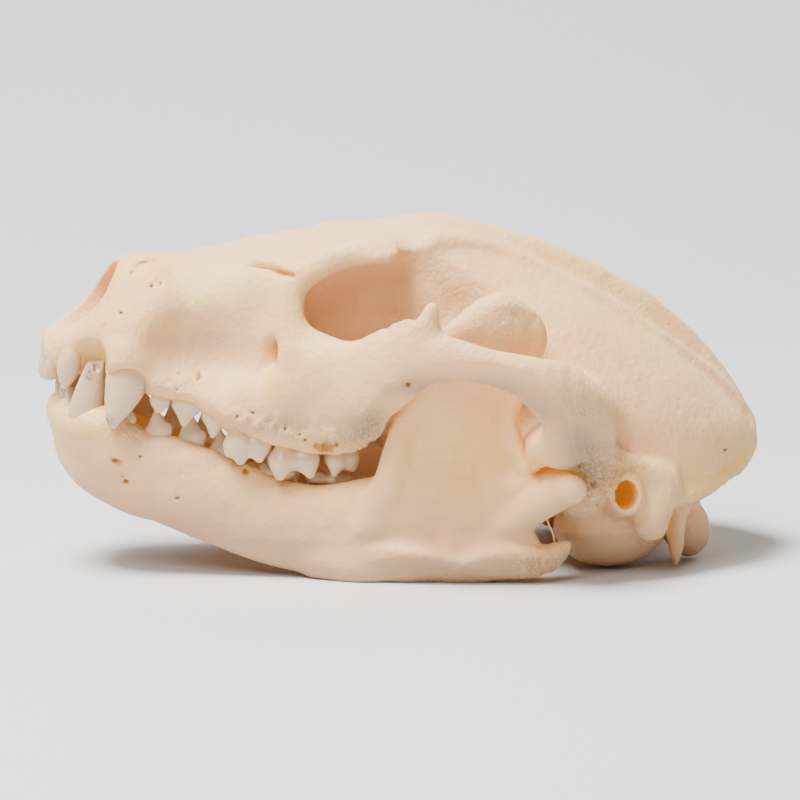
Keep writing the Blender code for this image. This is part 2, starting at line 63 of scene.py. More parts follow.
# How far a piece of tube bulges past its own end, as a share of the piece, and its least radius.
CAP_SHARE = 0.5
THINNEST = 0.2
# How many directions are searched for bone and table over each point, how far out along each, how
# far over the skin the search starts, and how squarely the skin has to face a direction.
SHELTER_WAYS = 34
SHELTER_REACHES = (1.0, 1.8, 3.0, 4.6, 6.8, 9.6, 13.0, 18.0, 25.0)
SHELTER_LIFT = 0.4
SHELTER_FACING = 0.12
# Large odd numbers that scramble the knots of the noise, and the step between its seeds.
SCRAMBLE = (374761393, 668265263, 2147483647)
REMIX = 1274126177
SEED_STEP = 144665

# The camera: turned from straight ahead, raised, its distance, the picture's width in mm, and the
# place that it looks at.
VIEW_TURN = 81.0
VIEW_RISE = 9.0
VIEW_DISTANCE = 750.0
VIEW_WIDTH = 132.7
VIEW_TARGET = (0.0, -0.55, 26.1)
SENSOR_WIDTH = 36
# The pale sheet: half its width, its front and back edges, rows of points, where it begins to
# rise, and the radius of its bend.
SHEET_HALF_WIDTH = 1400
SHEET_FRONT, SHEET_BACK = -1000, 1800
SHEET_ROWS = 90
SWEEP_START = 260.0
SWEEP_RADIUS = 500.0
# Lamps: name, place in metres, size in metres, watts. They look at one place over the table.
LAMPS = [
    ("soft_top", (0.10, -0.26, 0.78), 0.34, 22.0),
    ("soft_side", (0.62, -0.4, 0.7), 0.4, 5.0),
    ("soft_back", (-0.6, 0.6, 0.6), 0.5, 4.0),
]
LAMP_TARGET = (0, 0, 0.03)
SURROUND = 0.12

# Colours of bone and teeth, as linear light.
IVORY = (0.90, 0.57, 0.26)
IVORY_PINK = (0.86, 0.48, 0.23)
STRAW = (0.90, 0.53, 0.13)
# Painted shade: a darker tone laid where nearby bone hides the sky.
HOLLOW_SHADE = (0.74, 0.42, 0.16)
# Painted shade with warm bounced light: amber in the deepest hollows.
HOLLOW_SHADE_AMBER = (0.84, 0.47, 0.09)
SEAM = (0.70, 0.36, 0.04)
# Painted glow: light given off in the deepest hollows, standing in for light through thin bone.
GLOW = (0.15, 0.075, 0.006)
# Brown of real dust and specks, also laid on as painted shade on undersides and down-facing patches.
DUST_AND_SHADE = (0.36, 0.23, 0.14)
CRUMB = (0.93, 0.70, 0.46)
ENAMEL = (0.72, 0.51, 0.30)
ENAMEL_WARM = (0.66, 0.47, 0.29)
DENTINE = (0.76, 0.47, 0.20)
STAIN = (0.16, 0.09, 0.05)
PAPER = (0.66, 0.66, 0.66)

# Upright sections: y, centre z, half width, height above, depth below, roundness above, below.
ROSTRUM = [
    (-59.2, 35.9, 4.4, 1.8, 2.6, 2.4, 2.2),
    (-58.0, 36.2, 6.4, 3.2, 3.6, 2.5, 2.2),
    (-56.0, 36.7, 8.2, 4.4, 4.4, 2.6, 2.2),
    (-53.0, 37.4, 9.7, 6.0, 5.4, 2.6, 2.4),
    (-50.0, 38.4, 10.8, 8.2, 6.8, 2.6, 2.6),
    (-47.7, 39.2, 11.1, 10.4, 8.2, 2.6, 2.7),
    (-46.0, 39.6, 11.3, 11.4, 9.2, 2.5, 2.8),
    (-43.0, 39.8, 11.3, 11.8, 9.8, 2.4, 2.8),
    (-38.0, 39.4, 11.2, 12.2, 10.4, 2.2, 2.8),
    (-34.0, 38.6, 12.0, 13.2, 10.6, 2.1, 2.8),
    (-28.0, 37.6, 14.0, 15.0, 12.6, 2.0, 2.8),
    (-23.0, 37.8, 14.6, 15.9, 15.8, 2.0, 2.6),
    (-17.0, 39.6, 12.0, 15.0, 14.0, 2.1, 2.4),
    (-10.0, 41.4, 10.4, 13.6, 12.0, 2.3, 2.2),
    (-3.0, 41.2, 10.8, 13.6, 14.0, 2.3, 2.2),
    (4.0, 40.0, 10.2, 14.4, 16.0, 2.0, 2.0),
    (9.0, 38.0, 8.0, 13.0, 14.0, 2.0, 2.0),
]
BRAINCASE = [
    (-6.0, 41.0, 8.0, 10.0, 9.0, 2.0, 2.0),
    (0.0, 39.2, 11.4, 15.4, 12.0, 2.0, 2.0),
    (4.0, 37.6, 13.8, 17.8, 15.0, 2.0, 2.0),
    (9.0, 34.6, 17.2, 20.8, 17.4, 2.0, 2.1),
    (14.0, 32.2, 20.0, 21.4, 18.0, 2.0, 2.2),
    (20.0, 29.6, 23.2, 21.0, 17.6, 2.0, 2.3),
    (27.0, 26.8, 24.6, 20.4, 17.0, 2.0, 2.4),
    (34.0, 24.2, 24.8, 19.0, 16.2, 2.0, 2.5),
    (41.0, 21.2, 24.2, 17.0, 14.8, 2.05, 2.5),
    (47.0, 18.8, 22.2, 14.2, 10.6, 2.2, 2.4),
    (52.0, 17.8, 18.4, 11.0, 5.0, 2.2, 2.2),
    (56.0, 18.4, 13.0, 6.6, 3.0, 2.1, 2.0),
    (58.6, 19.2, 6.0, 3.0, 2.0, 2.0, 2.0),
]
FOREHEAD = [
    (-36.0, 43.6, 10.0, 6.4, 6.0, 2.2, 2.2),
    (-27.0, 46.6, 12.2, 5.6, 6.0, 2.3, 2.2),
    (-22.0, 48.4, 12.6, 4.6, 4.0, 2.3, 2.2),
    (-16.0, 50.4, 12.4, 3.5, 2.2, 2.3, 2.2),
    (-9.0, 51.8, 12.8, 2.9, 1.9, 2.4, 2.2),
    (-4.0, 52.4, 13.2, 2.8, 1.9, 2.4, 2.2),
    (-1.0, 52.4, 12.0, 3.0, 4.0, 2.3, 2.0),
    (1.5, 52.0, 11.4, 3.2, 6.0, 2.2, 2.0),
    (6.0, 50.2, 11.6, 4.8, 8.0, 2.0, 2.0),
    (11.0, 46.8, 11.0, 4.2, 8.0, 2.0, 2.0),
]
PALATE = [
    (-46.0, 33.0, 12.0, 4.0, 2.0, 2.4, 3.0),
    (-38.0, 31.6, 13.8, 5.0, 2.4, 2.4, 3.0),
    (-31.0, 29.0, 15.8, 6.4, 3.4, 2.4, 3.0),
    (-24.0, 25.2, 17.2, 7.4, 3.8, 2.4, 3.0),
    (-16.0, 24.0, 17.6, 7.4, 3.4, 2.2, 3.0),
    (-10.0, 24.2, 17.0, 6.0, 3.2, 2.2, 2.6),
    (-6.8, 24.4, 11.6, 5.6, 3.0, 2.2, 2.4),
    (-3.0, 24.4, 8.8, 7.0, 4.2, 2.2, 2.4),
    (6.0, 22.6, 7.2, 8.6, 5.0, 2.2, 2.6),
    (14.0, 19.0, 8.4, 8.0, 5.0, 2.2, 2.6),
    (24.0, 15.0, 10.4, 7.0, 4.4, 2.2, 2.4),
    (34.0, 12.0, 12.0, 7.0, 4.6, 2.2, 2.4),
    (44.0, 8.4, 9.0, 7.0, 4.4, 2.2, 2.4),
]

# Strips: x, y, z, half size along the strip's side, half size across it.
ARCH = [
    (13.0, -21.0, 31.6, 9.2, 4.0),
    (18.0, -15.0, 30.8, 8.8, 3.4),
    (22.0, -11.0, 31.6, 8.0, 3.0),
    (25.8, -7.4, 34.0, 7.0, 2.8),
    (29.0, -3.6, 37.2, 6.1, 2.6),
    (31.8, 0.8, 37.6, 4.4, 2.4),
    (33.5, 5.4, 37.0, 3.4, 2.2),
    (34.7, 10.2, 35.9, 3.3, 2.2),
    (35.3, 14.0, 35.0, 3.6, 2.3),
    (35.2, 18.0, 32.8, 5.0, 2.5),
    (32.6, 22.4, 30.0, 5.6, 3.4),
    (27.4, 26.0, 26.6, 5.6, 4.6),
    (20.0, 28.0, 24.0, 5.0, 4.0),
]
JUGAL_POINT = [
    (30.2, -1.0, 40.6, 3.0, 1.9),
    (31.0, -0.2, 43.6, 1.9, 1.5),
    (31.3, 0.2, 45.8, 1.35, 1.1),
]
JUGAL_BUMP = [
    (28.0, -4.0, 40.8, 2.0, 1.5),
    (28.9, -3.3, 43.0, 1.1, 0.95),
]
POSTORBITAL = [
    (6.0, -5.6, 53.2, 3.6, 1.6),
    (11.0, -5.8, 53.2, 3.6, 1.5),
    (13.6, -5.4, 52.8, 3.2, 1.3),
    (15.6, -4.9, 52.0, 2.2, 0.9),
]
ORBIT_RIM = [
    (17.0, -20.2, 37.4, 2.2, 1.8),
    (15.7, -20.7, 42.0, 2.0, 1.5),
    (14.7, -19.7, 46.2, 1.8, 1.3),
    (14.0, -16.9, 49.6, 1.6, 1.1),
    (13.7, -12.6, 52.0, 1.2, 0.9),
    (13.9, -8.0, 52.9, 1.0, 0.8),
]
TEMPORAL_LINE = [
    (9.6, 2.6, 54.2, 0.9, 1.4),
    (7.8, 8.8, 53.8, 0.9, 1.5),
    (7.2, 15.0, 52.2, 1.0, 1.5),
    (7.0, 25.7, 46.9, 1.0, 1.5),
    (6.4, 36.1, 41.2, 1.0, 1.5),
    (5.4, 46.0, 34.4, 1.1, 1.4),
    (4.2, 52.0, 29.6, 1.1, 1.3),
    (3.0, 56.6, 24.6, 0.9, 1.2),
]
SAGITTAL_CREST = [
    (0.0, -6.0, 51.8, 2.0, 3.0),
    (0.0, 4.0, 53.4, 2.6, 3.4),
    (0.0, 13.0, 52.4, 3.0, 2.8),
    (0.0, 24.0, 48.4, 3.6, 2.4),
    (0.0, 34.0, 43.7, 3.8, 2.2),
    (0.0, 44.0, 37.0, 3.8, 2.2),
    (0.0, 51.0, 30.6, 3.2, 2.2),
    (0.0, 55.6, 25.2, 2.4, 2.4),
    (0.0, 58.0, 20.8, 1.7, 3.0),
]
NUCHAL_CREST = [
    (0.0, 58.2, 20.4, 2.0, 2.2),
    (5.0, 57.4, 18.4, 2.0, 1.8),
    (10.0, 55.6, 16.7, 2.1, 1.5),
    (14.4, 52.8, 15.7, 2.2, 1.3),
    (18.0, 49.4, 14.9, 2.3, 1.3),
    (20.6, 45.4, 13.4, 2.4, 1.4),
    (22.6, 41.8, 12.7, 2.6, 1.8),
    (24.4, 38.6, 13.4, 2.8, 2.2),
]
MASTOID = [
    (24.2, 38.4, 15.4, 3.6, 3.2),
    (25.6, 37.6, 11.4, 3.2, 2.8),
    (26.0, 37.0, 8.4, 2.8, 2.5),
]
PAROCCIPITAL = [
    (16.6, 43.2, 12.4, 3.8, 3.2),
    (19.0, 42.9, 7.8, 2.1, 1.6),
    (20.1, 42.6, 3.3, 1.3, 1.2),
    (20.4, 42.5, 0.8, 0.7, 0.7),
]
SUPRAMEATAL = [
    (27.6, 29.4, 20.6, 1.8, 1.8),
    (27.0, 33.4, 18.9, 1.6, 1.6),
    (26.0, 37.0, 17.0, 1.8, 1.6),
]
GLENOID = [
    (18.0, 21.4, 22.4, 4.8, 3.1),
    (25.0, 21.4, 22.3, 5.0, 3.3),
    (31.0, 21.6, 22.6, 4.4, 3.4),
]
GLENOID_LIP = [
    (18.0, 18.0, 19.4, 1.5, 2.2),
    (24.6, 17.8, 19.4, 1.4, 2.0),
    (29.6, 18.4, 22.4, 1.4, 1.6),
]
SQUAMOSAL = [
    (34.6, 18.4, 33.4, 3.4, 2.4),
    (33.4, 21.4, 31.0, 4.4, 2.8),
    (31.4, 23.8, 27.6, 5.0, 3.2),
    (29.6, 25.2, 23.8, 4.8, 3.2),
    (28.0, 26.2, 19.8, 4.2, 3.0),
    (27.0, 26.8, 16.0, 3.6, 2.8),
    (26.4, 26.8, 13.2, 2.6, 2.2),
]
POSTGLENOID = [
    (19.0, 26.4, 15.0, 4.4, 1.8),
    (24.5, 26.2, 14.0, 4.0, 2.0),
    (29.6, 26.8, 15.6, 3.4, 1.8),
]
POSTGLENOID_HOOK = [
    (19.0, 24.8, 12.4, 1.5, 1.5),
    (24.0, 24.0, 12.0, 1.8, 1.6),
    (28.4, 25.4, 13.2, 1.6, 1.5),
]
EAR_TUBE = [
    (17.0, 32.4, 12.4, 4.4, 4.4),
    (25.4, 32.6, 14.0, 3.2, 3.8),
    (29.0, 32.4, 14.4, 2.8, 3.4),
]
PTERYGOID = [
    (6.6, -2.0, 22.0, 5.0, 1.2),
    (6.4, 7.0, 18.0, 5.0, 1.1),
    (6.8, 13.6, 14.4, 3.6, 1.0),
    (7.4, 17.6, 11.2, 1.0, 0.8),
]
CANINE_ROOT = [
    (12.0, -47.0, 34.4, 3.7, 3.0),
    (11.8, -46.0, 37.6, 3.5, 2.7),
    (11.0, -43.8, 41.0, 2.8, 2.2),
    (9.8, -40.4, 44.4, 1.9, 1.6),
]
MALAR_EDGE = [
    (13.6, -29.0, 27.4, 4.0, 3.4),
    (16.4, -22.0, 30.0, 4.2, 3.0),
    (18.4, -15.4, 34.0, 3.4, 2.6),
]
CHEEK_TUBERCLE = [
    (18.4, -13.6, 24.0, 2.4, 2.2),
    (20.6, -9.8, 24.6, 2.2, 2.0),
    (23.4, -8.2, 26.6, 2.0, 1.8),
]
# Swellings of the jaws over the roots of the teeth.
UPPER_ROOTS = [
    [(12.4, -41.2, 31.0, 1.3, 1.2), (11.8, -40.6, 33.6, 0.8, 0.8)],
    [(13.0, -37.2, 30.4, 1.6, 1.2), (12.2, -37.0, 33.4, 0.9, 0.9)],
    [(14.2, -33.2, 28.6, 1.5, 1.2), (13.4, -33.0, 31.8, 0.9, 0.9)],
    [(15.8, -29.6, 26.8, 1.6, 1.4), (15.2, -29.4, 30.4, 0.9, 0.9)],
    [(16.8, -25.2, 25.2, 1.7, 1.4), (16.2, -25.2, 28.8, 1.0, 1.0)],
    [(17.6, -21.6, 23.8, 1.6, 1.3), (17.0, -21.6, 27.2, 1.0, 1.0)],
    [(17.8, -17.4, 23.2, 1.5, 1.3), (17.4, -17.4, 26.2, 1.0, 1.0)],
]
UP, BACK, OUT = (0, 0, 1), (0, 1, 0), (1, 0, 0)
# Each strip with its side and its melting width.
CRANIUM_STRIPS = [
    (SAGITTAL_CREST, UP, 3.4), (ARCH, UP, 3.0), (JUGAL_POINT, BACK, 1.2), (JUGAL_BUMP, BACK, 0.8),
    (POSTORBITAL, BACK, 1.6), (ORBIT_RIM, BACK, 3.0), (TEMPORAL_LINE, UP, 2.2),
    (NUCHAL_CREST, BACK, 1.6), (MASTOID, BACK, 1.5), (PAROCCIPITAL, OUT, 1.5),
    (SUPRAMEATAL, UP, 1.8), (GLENOID, BACK, 2.6), (GLENOID_LIP, BACK, 1.4), (SQUAMOSAL, BACK, 1.8),
    (POSTGLENOID, UP, 1.6), (POSTGLENOID_HOOK, UP, 1.6), (EAR_TUBE, BACK, 0.9),
    (PTERYGOID, UP, 1.5), (CANINE_ROOT, BACK, 3.6), (MALAR_EDGE, UP, 3.5),
    (CHEEK_TUBERCLE, UP, 2.2), *((rows, BACK, 2.6) for rows in UPPER_ROOTS),
]
# Balls: centre, half sizes, turn about X and Z in degrees, melting width.
CRANIUM_BALLS = [
    ((16.0, 32.4, 7.3), (6.6, 9.8, 7.1), 0, 12, 1.5),
    ((11.0, 46.2, 5.5), (3.4, 4.2, 5.4), 20, 20, 1.2),
]
# The orbit and the temple behind it, scooped out before the brow and the arch are added.
EARLY_HOLLOWS = [
    ((20.0, -8.2, 43.0), (10.6, 11.8, 9.6), 0, 0, 3.0),
    ((24.0, 5.0, 42.6), (11.0, 9.0, 8.0), 0, 0, 4.0),
]
# Hollows scooped out later: the cheek before the orbit, then before and round the upper canine.
CRANIUM_HOLLOWS = [
    ((19.4, -35.0, 38.6), (7.4, 8.6, 6.4), 0, 0, 3.4),
    ((11.4, -52.4, 35.0), (3.8, 2.7, 3.9), 0, 0, 1.0),
    ((15.4, -46.9, 30.6), (4.2, 3.9, 4.3), -14, 0, 0.7),
]
NOSE_CUT = [
    (0.0, -64.0, 45.4, 7.0, 5.6),
    (0.0, -56.0, 44.6, 7.0, 6.0),
    (0.0, -50.0, 43.6, 7.0, 6.6),
    (0.0, -42.0, 42.6, 6.8, 6.8),
    (0.0, -30.0, 41.0, 4.6, 5.2),
]
FORAMEN_MAGNUM = [
    (0.0, 58.0, 5.0, 6.4, 5.4),
    (0.0, 47.0, 8.6, 6.0, 5.2),
    (0.0, 40.0, 12.0, 6.0, 5.0),
    (0.0, 30.0, 20.0, 12.0, 12.0),
]
EAR_CUT = [
    (32.0, 32.2, 14.4, 1.9, 2.5),
    (27.0, 32.2, 14.3, 1.8, 2.4),
    (19.0, 32.6, 13.4, 2.4, 2.6),
]
GLENOID_CUT = [
    (16.6, 21.5, 16.2, 2.6, 2.6),
    (19.0, 21.4, 16.2, 3.1, 3.0),
    (26.0, 21.4, 16.0, 3.4, 3.1),
    (32.0, 21.4, 15.9, 3.3, 3.1),
    (36.0, 21.4, 15.8, 3.2, 3.0),
]
CHOANA = [
    (0.0, 20.0, 11.6, 4.6, 4.6),
    (0.0, 12.0, 16.4, 4.6, 4.4),
    (0.0, 2.0, 22.0, 4.2, 3.6),
]
CHEEK_HOLE = [
    (20.4, -29.0, 34.2, 2.4, 1.4),
    (16.4, -24.4, 36.2, 1.9, 1.2),
    (13.6, -18.0, 38.0, 1.7, 1.0),
]
# The muscle's long facet under the cheek arch, scooped by a tube outside it.
ARCH_FACET = [
    (28.8, -11.0, 20.6, 5.4, 5.4),
    (30.8, -8.0, 24.6, 5.8, 5.8),
    (34.4, -4.0, 29.2, 6.0, 6.0),
    (36.9, 0.8, 31.5, 6.0, 6.0),
    (38.8, 5.4, 32.4, 6.0, 6.0),
    (40.0, 10.2, 31.8, 5.9, 5.9),
    (40.3, 13.8, 30.2, 5.8, 5.8),
    (39.3, 17.0, 26.8, 5.4, 5.4),
    (37.6, 18.6, 23.0, 4.6, 4.6),
    (36.4, 19.0, 19.4, 3.6, 3.6),
]
BROW_CREASE = [
    (16.0, 0.9, 51.2, 2.5, 1.4),
    (13.8, 0.9, 53.5, 2.3, 1.1),
    (11.4, 0.7, 54.8, 1.9, 0.8),
    (9.0, 0.4, 55.8, 1.4, 0.6),
    (6.4, 0.2, 56.7, 0.8, 0.4),
]
MASTOID_GROOVE = [
    (27.2, 34.4, 6.6, 0.5, 0.6),
    (27.2, 36.2, 5.9, 0.5, 0.6),
    (26.4, 38.2, 6.4, 0.5, 0.6),
]
# Each cut with its side and its melting width.
CRANIUM_CUTS = [
    (ARCH_FACET, BACK, 0.25), (BROW_CREASE, BACK, 1.2), (NOSE_CUT, OUT, 0.6),
    (FORAMEN_MAGNUM, OUT, 0.8), (EAR_CUT, BACK, 0.5), (GLENOID_CUT, BACK, 0.4),
    (CHOANA, OUT, 1.0), (CHEEK_HOLE, UP, 1.6), (MASTOID_GROOVE, UP, 0.4),
]

JAW_BODY = [
    (3.0, -53.2, 22.2, 6.0, 2.6),
    (5.8, -50.4, 19.7, 6.8, 3.4),
    (9.0, -45.4, 17.1, 7.1, 3.4),
    (10.8, -39.0, 14.8, 7.0, 3.2),
    (12.4, -32.0, 12.1, 6.9, 3.2),
    (14.0, -24.0, 9.0, 7.0, 3.4),
    (16.8, -16.0, 7.8, 7.4, 3.2),
    (20.2, -8.0, 8.6, 8.2, 2.8),
    (22.4, 0.0, 10.0, 8.8, 2.0),
    (23.6, 8.0, 11.0, 7.6, 1.5),
]
JAW_PLATE = [
    (22.6, 4.6, 9.0, 12.4, 1.4),
    (22.8, 4.6, 14.0, 12.4, 1.25),
    (23.3, 4.8, 20.0, 11.2, 1.2),
    (23.9, 5.2, 26.0, 9.4, 1.2),
    (24.5, 6.2, 30.0, 8.9, 1.2),
    (25.3, 9.0, 35.0, 9.2, 1.7),
    (25.9, 11.2, 40.0, 7.8, 2.4),
    (26.2, 12.2, 43.4, 5.4, 2.3),
    (26.2, 13.2, 45.2, 3.0, 1.6),
]
CORONOID_EDGE = [
    (20.4, -9.0, 8.0, 2.6, 2.2),
    (21.8, -6.6, 12.0, 2.1, 2.0),
    (22.8, -5.1, 16.0, 1.7, 1.8),
    (23.4, -4.3, 20.4, 1.5, 1.6),
    (24.0, -2.8, 26.0, 1.4, 1.5),
    (24.8, -0.4, 31.0, 1.4, 1.5),
    (25.5, 3.2, 37.4, 1.4, 1.4),
    (25.9, 7.6, 42.8, 1.3, 1.5),
    (26.1, 12.6, 45.6, 1.1, 1.5),
    (26.1, 17.0, 43.4, 1.2, 1.4),
    (26.0, 18.6, 40.0, 1.1, 1.1),
    (25.4, 17.0, 35.0, 1.0, 1.0),
]
CORONOID_BACK = [
    (24.8, 16.8, 18.2, 1.4, 1.3),
    (24.4, 14.6, 23.4, 1.1, 1.2),
    (24.8, 14.2, 28.0, 1.0, 1.1),
    (25.4, 16.4, 33.0, 1.0, 1.1),
]
LOWER_EDGE = [
    (17.4, -16.0, 2.4, 2.2, 2.2),
    (20.4, -11.0, 2.0, 2.3, 2.3),
    (22.2, -4.0, 2.2, 2.3, 2.2),
    (24.0, 4.0, 2.9, 2.3, 2.2),
    (25.6, 11.0, 2.9, 2.3, 2.2),
    (27.0, 16.6, 2.8, 2.1, 2.0),
    (27.6, 20.6, 4.0, 1.8, 1.6),
    (27.9, 22.9, 6.2, 0.9, 0.9),
]
MUSCLE_LEDGE = [
    (18.6, -14.0, 4.4, 2.0, 1.6),
    (22.0, -7.8, 4.5, 1.9, 1.8),
    (24.2, -3.2, 4.9, 1.7, 1.9),
    (25.6, 1.6, 4.6, 1.5, 1.8),
    (26.4, 6.0, 3.6, 1.3, 1.7),
    (27.2, 9.4, 4.6, 1.7, 1.8),
    (27.9, 13.4, 5.0, 1.7, 1.8),
    (28.3, 17.4, 4.6, 1.5, 1.6),
    (28.1, 21.0, 5.2, 1.2, 1.1),
]
ANGLE_PLATE = [
    (24.0, 5.0, 7.6, 6.6, 1.5),
    (25.4, 12.0, 7.2, 5.6, 1.5),
    (26.6, 16.6, 5.4, 3.2, 1.5),
]
CONDYLE_NECK = [
    (24.4, 9.8, 6.6, 2.0, 1.7),
    (26.4, 14.0, 9.6, 2.4, 2.3),
    (28.6, 17.8, 12.8, 2.7, 2.7),
    (30.4, 20.6, 15.0, 2.8, 2.8),
]
NECK_PLATE = [
    (24.0, 11.6, 12.6, 4.6, 1.4),
    (24.8, 15.6, 13.6, 3.2, 1.5),
    (25.4, 19.4, 15.0, 2.0, 1.8),
]
CONDYLE = [
    (19.0, 21.6, 16.2, 1.5, 1.5),
    (21.6, 21.5, 16.2, 2.5, 2.3),
    (26.6, 21.5, 16.0, 3.0, 2.6),
    (30.6, 21.9, 16.0, 3.0, 2.7),
    (33.0, 22.3, 16.1, 2.8, 2.5),
]
CHIN = [
    (0.0, -55.2, 26.2, 2.6, 7.0),
    (0.0, -53.4, 21.4, 2.8, 6.6),
    (0.0, -50.0, 16.8, 2.8, 6.6),
    (0.0, -45.8, 14.4, 2.0, 5.0),
]
JAW_FRONT = [
    (0.0, -56.4, 25.6, 2.6, 1.9),
    (4.6, -55.6, 25.2, 2.6, 2.1),
    (8.6, -53.0, 24.4, 3.2, 2.9),
    (10.0, -48.6, 22.2, 3.4, 3.0),
]
LOWER_ROOTS = [
    [(10.4, -51.0, 25.0, 2.4, 2.2), (10.8, -47.6, 20.4, 2.2, 2.0), (11.0, -44.0, 16.8, 1.4, 1.3)],
    [(11.6, -40.6, 20.8, 1.8, 0.9), (11.8, -40.4, 18.6, 1.2, 0.7)],
    [(12.4, -35.4, 19.0, 1.8, 0.9), (12.6, -35.2, 17.0, 1.2, 0.7)],
    [(13.6, -29.4, 16.2, 1.8, 0.9), (14.0, -29.0, 14.4, 1.2, 0.7)],
]
MANDIBLE_STRIPS = [
    (CHIN, BACK, 4.0), (JAW_BODY, UP, 4.0), (JAW_PLATE, BACK, 1.6), (CORONOID_EDGE, BACK, 1.6),
    (CORONOID_BACK, BACK, 1.2), (LOWER_EDGE, UP, 2.2), (MUSCLE_LEDGE, UP, 1.5),
    (ANGLE_PLATE, UP, 1.6), (NECK_PLATE, UP, 1.6), (CONDYLE_NECK, UP, 1.0), (CONDYLE, BACK, 0.8),
    (JAW_FRONT, UP, 2.5), *((rows, BACK, 3.0) for rows in LOWER_ROOTS),
]


# Holes, slits and lips seen from the side: y, z, half length, half height, depth; or places y, z.
CRANIUM_PITS = [
    (-42.1, 47.2, 0.3, 0.3, 1.0), (-40.7, 47.5, 0.25, 0.35, 1.0), (-47.3, 43.2, 0.35, 0.35, 1.0),
    (-36.4, 44.6, 0.22, 0.24, 0.8), (-26.9, 27.6, 0.3, 0.24, 1.0), (-24.4, 26.2, 0.25, 0.25, 0.8),
    (-29.4, 27.0, 0.35, 0.24, 0.8), (-19.4, 24.0, 0.25, 0.25, 1.0), (-18.6, 23.2, 0.35, 0.3, 1.0),
    (-15.2, 21.7, 1.2, 1.3, 2.6), (-16.8, 22.3, 0.6, 0.4, 1.2), (-13.6, 22.5, 0.5, 0.5, 1.2),
    (-3.4, 33.4, 0.45, 0.4, 0.9), (50.8, 19.5, 0.28, 0.28, 1.4),
    (24.2, 19.8, 0.45, 0.35, 0.8), (26.8, 16.6, 0.45, 0.45, 0.8), (27.4, 13.2, 0.4, 0.35, 0.7),
    (-33.6, 29.4, 0.25, 0.22, 0.7), (-21.8, 25.0, 0.25, 0.2, 0.8), (-38.6, 31.0, 0.3, 0.2, 0.7),
]
CRANIUM_SLITS = [
    [(-26.4, 50.2), (-24.6, 50.1), (-23.0, 49.9), (-21.4, 49.6), (-20.0, 49.2)],
    [(-45.0, 49.0), (-44.2, 49.7), (-43.4, 50.3), (-41.8, 50.6), (-40.4, 50.6)],
    [(-21.8, 49.5), (-20.9, 49.3)],
]
CRANIUM_LIPS = [
    [(-27.2, 51.2), (-25.0, 51.2), (-23.0, 51.0), (-21.0, 50.6), (-19.4, 50.0)],
]
MANDIBLE_PITS = [
    (-46.8, 15.8, 0.55, 0.42, 2.6), (-47.4, 16.6, 0.3, 0.25, 1.0), (-44.5, 20.0, 0.22, 0.2, 0.9),
    (-38.7, 13.1, 0.4, 0.25, 1.0), (-27.7, 17.3, 0.55, 0.55, 1.4), (-48.6, 19.3, 0.5, 0.28, 1.2),
]
MANDIBLE_SLITS = [
    [(-49.2, 19.8), (-48.4, 19.3), (-47.7, 19.1)],
]
# Where a pit starts over the skin, the share of its depth at which it narrows, how narrow it
# ends, and its melting width.
PIT_START = 0.8
PIT_SHOULDER = 0.4
PIT_TAPER = 0.5
PIT_MELT = 0.25
# Slits and lips: half sizes and melting width.
CRANIUM_SLIT_SIZES = (0.34, 0.8)
MANDIBLE_SLIT_SIZES = (0.35, 0.5)
SLIT_MELT = 0.3
LIP_SIZES = (0.5, 0.5)
LIP_MELT = 1.0

# Patches seen from the side, outer skin only: y, z, half length, half height, strength.
ROUGH_PATCHES = {
    "cranium": [
        (-12.0, 22.6, 6.0, 2.2, 1.5), (26.4, 17.6, 4.4, 6.8, 1.3), (-27.0, 25.4, 12.0, 2.0, 1.1),
        (-50.0, 33.6, 4.0, 3.4, 0.5), (-8.0, 27.6, 4.0, 3.4, 0.8), (37.0, 6.0, 3.0, 2.4, 0.7),
        (54.0, 15.0, 6.0, 4.0, 0.5), (-40.0, 31.2, 5.0, 1.8, 0.7), (22.4, 30.0, 4.6, 3.0, 0.6),
        (32.4, 18.6, 4.0, 1.4, 1.0), (-3.0, 43.0, 3.0, 1.6, 0.6),
    ],
    "mandible": [
        (18.0, 3.4, 6.0, 2.8, 1.2), (-46.0, 24.4, 6.0, 1.6, 0.6), (-30.0, 18.6, 12.0, 1.6, 0.5),
        (0.0, 3.6, 10.0, 1.6, 0.5), (-54.0, 22.0, 3.0, 4.0, 0.5), (14.0, 44.0, 5.0, 3.0, 0.6),
    ],
}
WARM_PATCHES = {
    "cranium": [
        (50.0, 14.6, 9.0, 4.6, 0.9), (57.0, 20.0, 4.0, 6.0, 0.7), (30.0, 49.6, 20.0, 3.0, 0.6),
        (-44.0, 50.0, 5.0, 2.4, 0.8), (-46.0, 43.0, 6.0, 5.0, 0.4), (-17.0, 22.4, 4.0, 1.6, 0.9),
        (-20.0, 48.6, 4.0, 3.0, 0.5), (33.4, 18.2, 4.0, 2.0, 1.0), (-7.0, 29.0, 4.0, 5.0, 0.4),
        (-52.0, 36.0, 3.0, 2.0, 0.6), (-24.0, 33.0, 3.0, 3.0, 0.7), (40.0, 8.0, 3.0, 4.0, 0.6),
        (38.0, 40.0, 14.0, 4.0, 0.4), (-18.0, 40.0, 3.0, 6.0, 0.4),
    ],
    "mandible": [
        (20.0, 3.4, 6.0, 3.0, 0.9), (8.0, 22.0, 8.0, 9.0, 0.6), (-54.0, 24.0, 3.0, 2.0, 0.7),
        (18.0, 40.0, 3.0, 6.0, 0.7), (-20.0, 14.6, 12.0, 1.4, 0.5), (-4.0, 22.0, 2.0, 9.0, 0.4),
    ],
}
